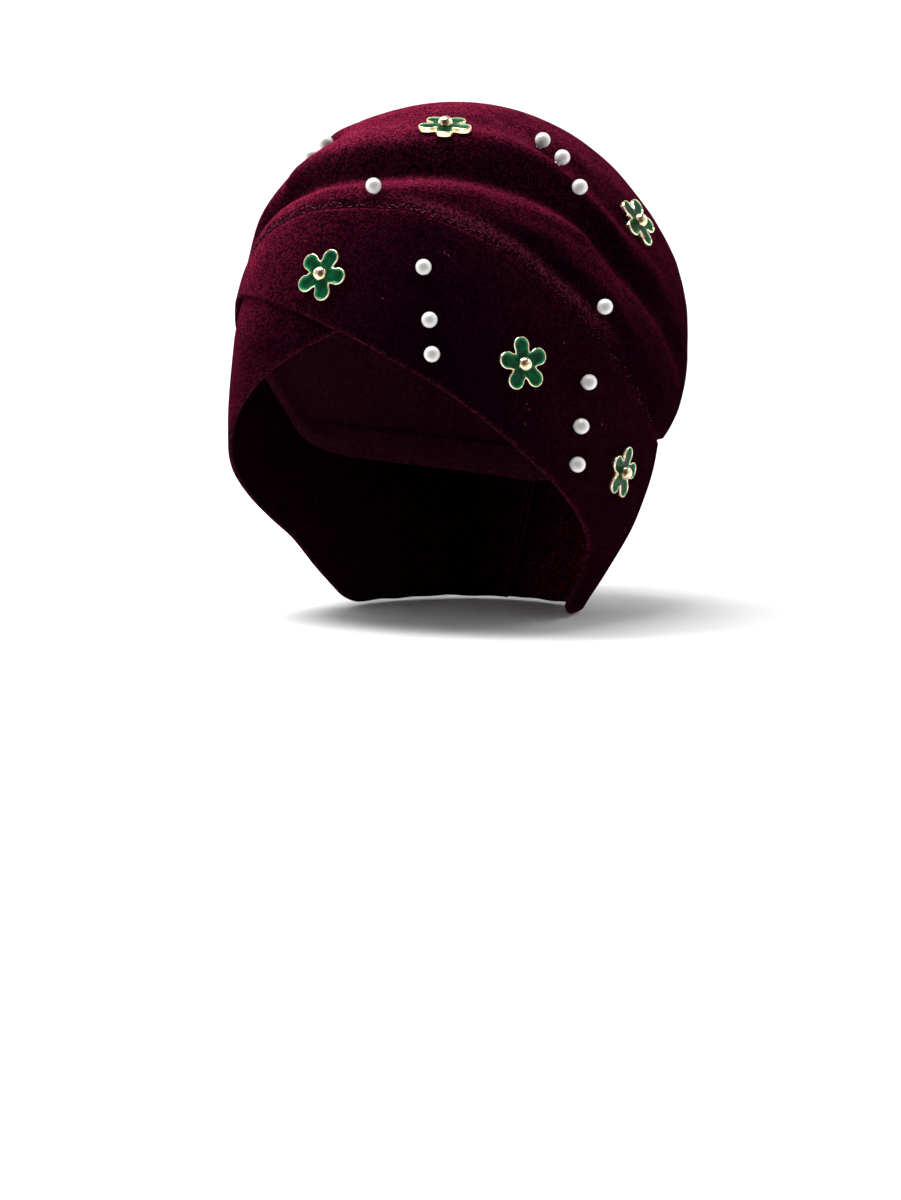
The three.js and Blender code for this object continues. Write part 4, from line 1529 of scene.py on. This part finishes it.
@dataclass
class SeamWork:
    """The overlocked seam between bands and crown and the seam at the centre of the back."""

    crown: CrownForm
    outer: BandForm
    wardrobe: Wardrobe
    pitch: float = 1.0
    pitch_scatter: float = 0.12
    line_rise: float = 0.5
    line_samples: int = 4000
    rises: Span = (0.5, 2.6)
    around_step: float = 0.4
    up_step: float = 0.6
    tilts: Span = (0.6, -0.25)
    tilt_scatter: float = 0.2
    worn_from: Span = (-75.0, -40.0)
    worn_to: Span = (22.0, 50.0)
    # level, and share that grows where the pile is worn
    paleness: Span = (0.12, 0.6)
    kept_share: Span = (0.35, 0.5)
    paleness_scatter: Span = (0.15, 1.0)
    paleness_power: float = 1.5
    back_azimuth: float = 179.8
    back_margins: Span = (3.0, 2.0)
    back_pitch: float = 3.0
    back_depth: float = 0.55
    back_paleness: float = 0.1
    seed: int = 5

    def ring(self) -> bpy.types.Object:
        """Stitch round the seam, paler over the forehead where the pile is worn.

        Returns:
            The finished piece.
        """
        dice = np.random.default_rng(self.seed)
        dense = np.linspace(-180, 180, self.line_samples)
        line = self.crown.point(dense, np.full_like(dense, self.line_rise))
        length = np.concatenate([[0], np.cumsum(np.linalg.norm(np.diff(line, axis=0), axis=1))])
        places = np.arange(0, length[-1] - self.pitch, self.pitch)
        places = places + dice.normal(0, self.pitch_scatter, len(places))
        azimuth = np.interp(places, length, dense)
        count = len(azimuth)
        rise = dice.uniform(*self.rises, count)
        centre = self.crown.point(azimuth, rise)
        after = self.crown.point(azimuth + self.around_step, rise)
        around = after - self.crown.point(azimuth - self.around_step, rise)
        over = self.crown.point(azimuth, rise + self.up_step)
        up = over - self.crown.point(azimuth, np.maximum(rise - self.up_step, 0.0))
        around, up = of_length_one(around), of_length_one(up)
        out = np.cross(around, up)
        tilt = np.where(np.arange(count) % 2 == 0, *self.tilts) + dice.normal(0, self.tilt_scatter, count)
        along = around * np.cos(tilt)[:, None] + up * np.sin(tilt)[:, None]
        worn = smoothstep(*self.worn_from, azimuth) * (1 - smoothstep(*self.worn_to, azimuth))
        scatter = dice.uniform(*self.paleness_scatter, count) ** self.paleness_power
        tones = np.clip((self.paleness[0] + self.paleness[1] * worn) * scatter, 0, 1)
        kept = dice.random(count) < self.kept_share[0] + self.kept_share[1] * worn
        work = Stitches(self.wardrobe, "seam_thread")
        return work.lay(centre[kept], along[kept], out[kept], tones[kept])

    def back(self) -> bpy.types.Object:
        """Stitch down the seam at the centre of the back.

        Returns:
            The finished piece.
        """
        hem, top = self.outer.limits(np.array([self.back_azimuth]))
        heights = np.arange(hem[0] + self.back_margins[0], top[0] - self.back_margins[1], self.back_pitch)
        azimuth = np.full_like(heights, self.back_azimuth)
        centre = self.outer.point(azimuth, heights, np.full_like(heights, self.back_depth))
        centre[:, 0] = 0.0
        along = np.tile([0.0, 0.0, 1.0], (len(heights), 1))
        out = np.tile([0.0, 1.0, 0.0], (len(heights), 1))
        work = Stitches(self.wardrobe, "back_seam_thread")
        return work.lay(centre, along, out, np.full(len(heights), self.back_paleness))


@dataclass
class Lint:
    """A few pale fibres caught in the pile."""

    band: BandForm
    wardrobe: Wardrobe
    half_length: float = 0.6
    thread: float = 0.08
    lift: float = 0.12
    around_step: float = 0.5
    up_step: float = 1.0
    paleness: Span = (0.4, 0.7)
    seed: int = 23
    # azimuth, height
    caught: Rows = (
        (24, 55),
        (23, 56),
        (41, 3),
        (41.5, 1),
        (40.5, -4),
        (10, 40),
        (52, 24),
        (-12, 60),
        (66, -6),
    )

    def build(self) -> bpy.types.Object:
        """Lay the fibres on the outer band.

        Returns:
            The finished piece.
        """
        dice = np.random.default_rng(self.seed)
        places = np.array(self.caught)
        azimuth, height = places[:, 0], places[:, 1]
        depth = np.full(len(places), -self.lift)
        centre = self.band.point(azimuth, height, depth)
        around = self.band.point(azimuth + self.around_step, height, depth) - centre
        up = self.band.point(azimuth, height + self.up_step, depth) - centre
        out = of_length_one(np.cross(around, up))
        angle = dice.uniform(0, math.pi, len(places))
        around, up = of_length_one(around), of_length_one(up)
        along = around * np.cos(angle)[:, None] + up * np.sin(angle)[:, None]
        fibres = Stitches(self.wardrobe, "lint_fibres", half_length=self.half_length, thread=self.thread)
        return fibres.lay(centre, along, out, dice.uniform(*self.paleness, len(places)))


# Ornaments


def node_points(name: str) -> Array:
    """Give the corners of a solid's triangles.

    Args:
        name: the solid's node.

    Returns:
        Three rows for each triangle, in metres.
    """
    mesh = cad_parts[name].data
    corners = [mesh.vertices[v].co[:] for face in mesh.polygons for v in face.vertices]
    return np.array(corners, float).reshape(-1, 3)


def surface_centre(name: str) -> Array:
    """Give the centre of a solid's surface.

    Args:
        name: the solid's node.

    Returns:
        The centre, weighted by area, in metres.
    """
    triangles = node_points(name).reshape(-1, 3, 3)
    cross = np.cross(triangles[:, 1] - triangles[:, 0], triangles[:, 2] - triangles[:, 0])
    areas = np.linalg.norm(cross, axis=1)
    return (triangles.mean(1) * areas[:, None]).sum(0) / areas.sum()


@dataclass
class Flower:
    """An enamelled flower: a gilt tray with a raised rim, green enamel and a gilt bead."""

    number: int
    wardrobe: Wardrobe
    petals: int = 5
    petal_centre: float = 6.7
    petal_radius: float = 3.2
    notch_radius: float = 5.1
    degrees_per_point: int = 2
    tray_height: float = 1.35
    enamel_inset: float = 0.5
    enamel_bottom: float = 0.75
    enamel_top: float = 1.5
    bead_radius: float = 2.7
    bead_middle: float = 1.95
    bead_foot: float = 1.3
    bead_segments: int = 48
    bead_rings: int = 28
    bead_lip: float = 0.12
    bead_drop: float = 0.3
    plate_crease: float = 50.0
    bead_crease: float = 40.0
    tip_share: float = 0.985
    # width and rise of each step over the raised rim, from its outside inwards
    rim_steps: Rows = (
        (0.06, 0.18),
        (0.09, 0.14),
        (0.11, 0.08),
        (0.11, 0.0),
        (0.09, -0.12),
        (0.05, -0.25),
        (0.02, -0.5),
    )
    # width and rise of each step over the dished enamel
    dish_steps: Rows = ((0.12, -0.08), (0.25, -0.15), (0.35, -0.12), (0.45, -0.07), (0.35, -0.01))

    def outline_radius(self, angle: float, inset: float) -> float:
        """Give the outline's radius at an angle from the nearest petal's axis.

        Args:
            angle: degrees, from 0 to half a petal's share.
            inset: how far the outline is drawn in.

        Returns:
            The radius in millimetres.
        """
        half_share = 180 / self.petals
        radius = self.petal_radius - inset
        edge = math.degrees(math.asin(radius / self.petal_centre))
        if angle < edge:
            across = self.petal_centre * math.sin(math.radians(angle))
            return self.petal_centre * math.cos(math.radians(angle)) + math.sqrt(radius**2 - across**2)
        side = self.petal_centre * math.cos(math.radians(edge))
        share = (angle - edge) / (half_share - edge)
        return side + (self.notch_radius - inset - side) * share

    def petal_plate(self, name: str, inset: float, height: float) -> bpy.types.Object:
        """Shape a round disc into the flower's outline.

        Args:
            name: the piece's name.
            inset: how far the outline is drawn in, in millimetres.
            height: where the disc lies, in millimetres.

        Returns:
            The plate, in edit mode with its face selected.
        """
        deselect_all()
        count = 360 // self.degrees_per_point
        bpy.ops.mesh.primitive_circle_add(
            vertices=count, radius=MM, fill_type="NGON", location=(0, 0, height * MM)
        )
        plate = bpy.context.object
        plate.name = name
        bpy.ops.object.transform_apply(location=True, rotation=False, scale=False)
        share = 360 // self.petals
        step = self.degrees_per_point
        for angle in range(0, share // 2 + 1, step):
            self._select_turned(plate, angle, share)
            size = self.outline_radius(angle, inset)
            bpy.ops.object.mode_set(mode="EDIT")
            bpy.ops.transform.resize(value=(size, size, 1), center_override=(0, 0, height * MM))
            bpy.ops.object.mode_set(mode="OBJECT")
        bpy.ops.object.mode_set(mode="EDIT")
        bpy.ops.mesh.select_mode(type="FACE")
        bpy.ops.mesh.select_all(action="SELECT")
        return plate

    def _select_turned(self, plate: bpy.types.Object, angle: int, share: int) -> None:
        """Select the points that stand at an angle from a petal's axis, on both of its sides.

        Args:
            plate: the plate, in edit mode or out of it.
            angle: degrees from the nearest petal's axis.
            share: degrees that each petal takes.
        """
        bpy.ops.object.mode_set(mode="EDIT")
        bpy.ops.mesh.select_mode(type="VERT")
        bpy.ops.mesh.select_all(action="DESELECT")
        bpy.ops.object.mode_set(mode="OBJECT")
        for vertex in plate.data.vertices:
            turned = (math.degrees(math.atan2(vertex.co.y, vertex.co.x)) - 90) % share
            nearest = min(turned, share - turned)
            vertex.select = abs(nearest - angle) < self.degrees_per_point / 4

    def _thicken(self, depth: float, steps: Rows) -> None:
        """Raise the selected plate and shape its upper face in narrow steps.

        Args:
            depth: how far the plate is raised.
            steps: width and rise of each step.
        """
        bpy.ops.mesh.extrude_region_move(TRANSFORM_OT_translate={"value": (0, 0, depth * MM)})
        for width, rise in steps:
            bpy.ops.mesh.inset(thickness=width * MM, depth=rise * MM, use_even_offset=True)
        bpy.ops.mesh.select_all(action="SELECT")
        bpy.ops.mesh.normals_make_consistent(inside=False)
        bpy.ops.object.mode_set(mode="OBJECT")

    def tray(self) -> bpy.types.Object:
        """Make the gilt tray with its rounded rim.

        Returns:
            The piece, at the origin.
        """
        plate = self.petal_plate(f"flower_{self.number}_tray", 0.0, 0.0)
        self._thicken(self.tray_height, self.rim_steps)
        bpy.ops.object.shade_smooth_by_angle(angle=math.radians(self.plate_crease))
        plate.data.materials.append(self.wardrobe.gilt)
        return plate

    def glaze(self) -> bpy.types.Object:
        """Make the enamel, dished inside the rim.

        Returns:
            The piece, at the origin.
        """
        plate = self.petal_plate(f"flower_{self.number}_glaze", self.enamel_inset, self.enamel_bottom)
        self._thicken(self.enamel_top - self.enamel_bottom, self.dish_steps)
        bpy.ops.object.shade_smooth_by_angle(angle=math.radians(self.plate_crease))
        lowest = self.enamel_top + sum(rise for _, rise in self.dish_steps)
        heights = np.array([vertex.co.z for vertex in plate.data.vertices]) / MM
        set_attribute(plate, "high_glaze", smoothstep(lowest, self.enamel_top, heights))
        plate.data.materials.append(self.wardrobe.enamel)
        return plate

    def ball(self) -> bpy.types.Object:
        """Make the bead, cut flat underneath and let down onto the enamel.

        Returns:
            The piece, at the origin.
        """
        deselect_all()
        bpy.ops.mesh.primitive_uv_sphere_add(
            segments=self.bead_segments,
            ring_count=self.bead_rings,
            radius=self.bead_radius * MM,
            location=(0, 0, self.bead_middle * MM),
        )
        bead = bpy.context.object
        bead.name = f"flower_{self.number}_ball"
        bpy.ops.object.transform_apply(location=True, rotation=False, scale=False)
        cut = (0, 0, self.bead_foot * MM)
        bpy.ops.object.mode_set(mode="EDIT")
        bpy.ops.mesh.select_all(action="SELECT")
        bpy.ops.mesh.bisect(plane_co=cut, plane_no=(0, 0, 1), clear_inner=True, use_fill=True)
        bpy.ops.mesh.select_mode(type="FACE")
        bpy.ops.mesh.inset(thickness=self.bead_lip * MM, depth=0)
        bpy.ops.mesh.extrude_region_move(TRANSFORM_OT_translate={"value": (0, 0, -self.bead_drop * MM)})
        bpy.ops.mesh.select_all(action="SELECT")
        bpy.ops.mesh.normals_make_consistent(inside=False)
        bpy.ops.object.mode_set(mode="OBJECT")
        bpy.ops.object.shade_smooth_by_angle(angle=math.radians(self.bead_crease))
        bead.data.materials.append(self.wardrobe.bead_gilt)
        return bead

    def place(self) -> Matrix:
        """Find how the flower's own solid stands on the cloth.

        Returns:
            The matrix that takes the modelled flower there.
        """
        setting = f"flower_{self.number}_setting"
        middle = surface_centre(setting)
        out = surface_centre(f"flower_{self.number}_bead") - middle
        out /= np.linalg.norm(out)
        corners = node_points(setting)
        base = middle + out * ((corners - middle) @ out).min()
        right = np.cross([0.0, 0.0, 1.0], out)
        right /= np.linalg.norm(right)
        up = np.cross(out, right)
        spread = (corners - base) @ right + 1j * ((corners - base) @ up)
        tips = spread[np.abs(spread) > self.tip_share * np.abs(spread).max()]
        fold = (tips / np.abs(tips)) ** self.petals
        turn = float(np.angle(fold.mean())) / self.petals - math.pi / 2
        first = right * math.cos(turn) + up * math.sin(turn)
        second = np.cross(out, first)
        rows = [[first[k], second[k], out[k], base[k]] for k in range(3)]
        return Matrix(rows + [[0, 0, 0, 1]])

    def build(self) -> List[bpy.types.Object]:
        """Make the three pieces and set them in place.

        Returns:
            The tray, the enamel and the bead.
        """
        place = self.place()
        node = f"flower_{self.number}_"
        tray, glaze, ball = self.tray(), self.glaze(), self.ball()
        for piece in (tray, glaze, ball):
            move_mesh(piece, place)
        settle(tray, [node + "setting"])
        settle(glaze, [node + "enamel"])
        settle(ball, [node + "bead"])
        return [tray, glaze, ball]


@dataclass
class Pearl:
    """A glued pearl on its short foot of glue."""

    number: int
    ground: Ground
    azimuth: float
    level: float
    wardrobe: Wardrobe
    radius: float = 2.86
    foot_radius_cut: float = 0.94
    foot_drop: float = 0.45
    settled: float = 0.2
    segments: int = 40
    rings: int = 24
    crease: float = 40.0
    step: float = 1.0

    def cloth(self, crown: CrownForm, band: BandForm, azimuth: float, level: float) -> Array:
        """Give a point of the cloth that the pearl is glued to.

        Args:
            crown: the crown's form.
            band: the outer band's form.
            azimuth: degrees from the front towards the wearer's left.
            level: height on the band, or latitude on the crown.

        Returns:
            The point.
        """
        at = np.array(azimuth)
        if self.ground is Ground.BAND:
            return band.point(at, np.array(level), np.array(0.0))
        above = np.radians(level - crown.seam_latitude(at)) * crown.arc_radius
        return crown.point(at, above)

    def outwards(self, crown: CrownForm, band: BandForm) -> Array:
        """Give the direction that the cloth faces under the pearl.

        Args:
            crown: the crown's form.
            band: the outer band's form.

        Returns:
            The direction, of length one.
        """
        steps = (-self.step, self.step)
        around = [self.cloth(crown, band, self.azimuth + step, self.level) for step in steps]
        up = [self.cloth(crown, band, self.azimuth, self.level + step) for step in steps]
        out = np.cross(around[1] - around[0], up[1] - up[0])
        return out / np.linalg.norm(out)

    def build(self, crown: CrownForm, band: BandForm) -> bpy.types.Object:
        """Make the pearl and set it where its solid stands.

        Args:
            crown: the crown's form.
            band: the outer band's form.

        Returns:
            The finished piece.
        """
        name = f"pearl_{self.number:02d}"
        deselect_all()
        bpy.ops.mesh.primitive_uv_sphere_add(
            segments=self.segments, ring_count=self.rings, radius=self.radius * MM, location=(0, 0, 0)
        )
        pearl = bpy.context.object
        pearl.name = f"{name}_ball"
        cut = (0, 0, -self.radius * self.foot_radius_cut * MM)
        bpy.ops.object.mode_set(mode="EDIT")
        bpy.ops.mesh.select_all(action="SELECT")
        bpy.ops.mesh.bisect(plane_co=cut, plane_no=(0, 0, 1), clear_inner=True, use_fill=True)
        bpy.ops.mesh.select_mode(type="FACE")
        bpy.ops.mesh.extrude_region_move(TRANSFORM_OT_translate={"value": (0, 0, -self.foot_drop * MM)})
        bpy.ops.mesh.select_all(action="SELECT")
        bpy.ops.mesh.normals_make_consistent(inside=False)
        bpy.ops.object.mode_set(mode="OBJECT")
        bpy.ops.object.shade_smooth_by_angle(angle=math.radians(self.crease))
        out = Vector(self.outwards(crown, band))
        middle = Vector(surface_centre(name)) - out * self.settled * MM
        place = Matrix.Translation(middle) @ out.to_track_quat("Z", "Y").to_matrix().to_4x4()
        move_mesh(pearl, place)
        pearl.data.materials.append(self.wardrobe.pearl)
        return settle(pearl, [name])


# The bands' flat areas in square metres, the level of painted light on the shaded band, and how many flowers
# there are
OVER_WRAP_AREA = 0.0198
UNDER_WRAP_AREA = 0.0175
UNDER_WRAP_PAINTED_LIGHT = 0.25
FLOWERS = 5

# cloth, azimuth, and height on the band or latitude on the crown
PEARL_PLACES: Tuple[Tuple[Ground, float, float], ...] = (
    (Ground.BAND, 18.6, 50.0),
    (Ground.BAND, 20.2, 32.1),
    (Ground.BAND, 20.8, 20.5),
    (Ground.BAND, 58.0, 9.6),
    (Ground.BAND, 55.0, -5.7),
    (Ground.BAND, 54.0, -19.2),
    (Ground.CROWN, 4.0, 38.4),
    (Ground.CROWN, 65.0, 58.5),
    (Ground.CROWN, 63.0, 50.5),
    (Ground.CROWN, 64.5, 43.2),
    (Ground.CROWN, 62.4, 13.6),
    (Ground.CROWN, -62.0, 58.5),
    (Ground.CROWN, -67.0, 54.0),
    (Ground.CROWN, -72.0, 49.5),
)


# The studio


@dataclass(frozen=True)
class SoftLight:
    """A square soft light that points at the cap, or at the backdrop behind it."""

    name: str
    azimuth: float
    elevation: float
    distance: float
    size: float
    power: float
    target: Triple = (0.0, 0.0, 0.01)
    tint: Colour = (1.0, 1.0, 1.0)

    def build(self) -> None:
        """Set the light up."""
        target = Vector(self.target)
        lamp = bpy.data.lights.new(self.name, "AREA")
        lamp.shape = "SQUARE"
        lamp.size = self.size
        lamp.energy = self.power
        lamp.color = self.tint
        stand = bpy.data.objects.new(self.name, lamp)
        bpy.context.scene.collection.objects.link(stand)
        stand.location = target + direction(self.azimuth, self.elevation) * self.distance
        stand.rotation_euler = (target - stand.location).to_track_quat("-Z", "Y").to_euler()


@dataclass
class Studio:
    """Camera, soft lights and the pale round backdrop."""

    wardrobe: Wardrobe
    azimuth: float = 26.0
    elevation: float = 3.0
    distance: float = 1.3
    lens: float = 103.35
    sight: float = 20.0
    aim_down: float = 0.0755
    aim_right: float = 0.0013
    floor_gap: float = 0.001
    floor_radius: float = 1.9
    floor_sides: int = 96
    sweep: float = 0.9
    sweep_steps: int = 12
    wall_height: float = 2.4
    world_light: float = 0.16
    lights: Tuple[SoftLight, ...] = (
        SoftLight("key_light", -58, 60, 1.6, 0.5, 22.0),
        SoftLight("top_light", -20, 84, 1.5, 0.9, 22.0),
        SoftLight("wall_light_left", 10, 35, 2.0, 1.2, 48.0, (-2.2, 1.9, 0.7)),
        SoftLight("wall_light_right", 40, 35, 2.0, 1.2, 20.0, (0.55, 2.4, 0.7)),
    )

    def camera(self) -> None:
        """Place the camera at the photograph's viewing angle."""
        lens = bpy.data.cameras.new("view")
        lens.lens = self.lens
        lens.clip_end = self.sight
        camera = bpy.data.objects.new("view", lens)
        bpy.context.scene.collection.objects.link(camera)
        back = direction(self.azimuth, self.elevation)
        right = Vector((math.cos(math.radians(self.azimuth)), math.sin(math.radians(self.azimuth)), 0))
        up = back.cross(right)
        camera.location = back * self.distance
        aim = right * self.aim_right - up * self.aim_down
        camera.rotation_euler = (aim - camera.location).to_track_quat("-Z", "Y").to_euler()
        bpy.context.scene.camera = camera

    def backdrop(self) -> None:
        """Raise a round floor into a wall all round in one sweep."""
        deselect_all()
        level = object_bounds()[0][2] - self.floor_gap
        bpy.ops.mesh.primitive_circle_add(
            vertices=self.floor_sides, radius=self.floor_radius, fill_type="NGON", location=(0, 0, level)
        )
        floor = bpy.context.object
        floor.name = "backdrop"
        bpy.ops.object.transform_apply(location=True, rotation=False, scale=False)
        bpy.ops.object.mode_set(mode="EDIT")
        bpy.ops.mesh.select_all(action="SELECT")
        bpy.ops.mesh.select_mode(type="EDGE")
        bpy.ops.mesh.region_to_loop()
        radius = self.floor_radius
        for k in range(1, self.sweep_steps + 1):
            turn = math.pi / 2 * k / self.sweep_steps
            before = math.pi / 2 * (k - 1) / self.sweep_steps
            wider = self.floor_radius + self.sweep * math.sin(turn)
            rise = self.sweep * (math.cos(before) - math.cos(turn))
            bpy.ops.mesh.extrude_edges_move(TRANSFORM_OT_translate={"value": (0, 0, rise)})
            grow = wider / radius
            bpy.ops.transform.resize(value=(grow, grow, 1), center_override=(0, 0, 0))
            radius = wider
        upright = self.wall_height - self.sweep
        bpy.ops.mesh.extrude_edges_move(TRANSFORM_OT_translate={"value": (0, 0, upright)})
        bpy.ops.object.mode_set(mode="OBJECT")
        bpy.ops.object.shade_smooth()
        floor.data.materials.append(self.wardrobe.backdrop)
        floor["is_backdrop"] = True

    def world(self) -> None:
        """Fill the room with even pale light from above the backdrop."""
        world = bpy.data.worlds.new("daylight")
        bpy.context.scene.world = world
        world.use_nodes = True
        sky = world.node_tree.nodes["Background"]
        sky.inputs["Color"].default_value = (1, 1, 1, 1)
        sky.inputs["Strength"].default_value = self.world_light

    def build(self) -> None:
        """Set up the whole studio."""
        self.camera()
        self.backdrop()
        self.world()
        for light in self.lights:
            light.build()
        bpy.context.scene.view_settings.view_transform = "Standard"


def main() -> None:
    """Build the cap and its studio."""
    logging.basicConfig(level=logging.INFO, format="%(message)s")
    wardrobe = Wardrobe()
    Studio(wardrobe).build()
    head = HeadForm()
    crown = CrownForm(head)
    outer, inner = BandForm(head, Side.OUTER), BandForm(head, Side.INNER)
    Crown(crown, wardrobe).build()
    Band(outer, wardrobe, "over_wrap_cloth", "over_wrap", OVER_WRAP_AREA).build()
    # the under wrap gets less painted light, a painted shade
    shaded = PaintedFacingLight(level=UNDER_WRAP_PAINTED_LIGHT)
    Band(inner, wardrobe, "under_wrap_cloth", "under_wrap", UNDER_WRAP_AREA, painted_light=shaded).build()
    seams = SeamWork(crown, outer, wardrobe)
    seams.ring()
    seams.back()
    Lint(outer, wardrobe).build()
    for number in range(1, FLOWERS + 1):
        Flower(number, wardrobe).build()
    for number, (ground, azimuth, level) in enumerate(PEARL_PLACES, 1):
        Pearl(number, ground, azimuth, level, wardrobe).build(crown, outer)


if __name__ == "__main__":
    main()
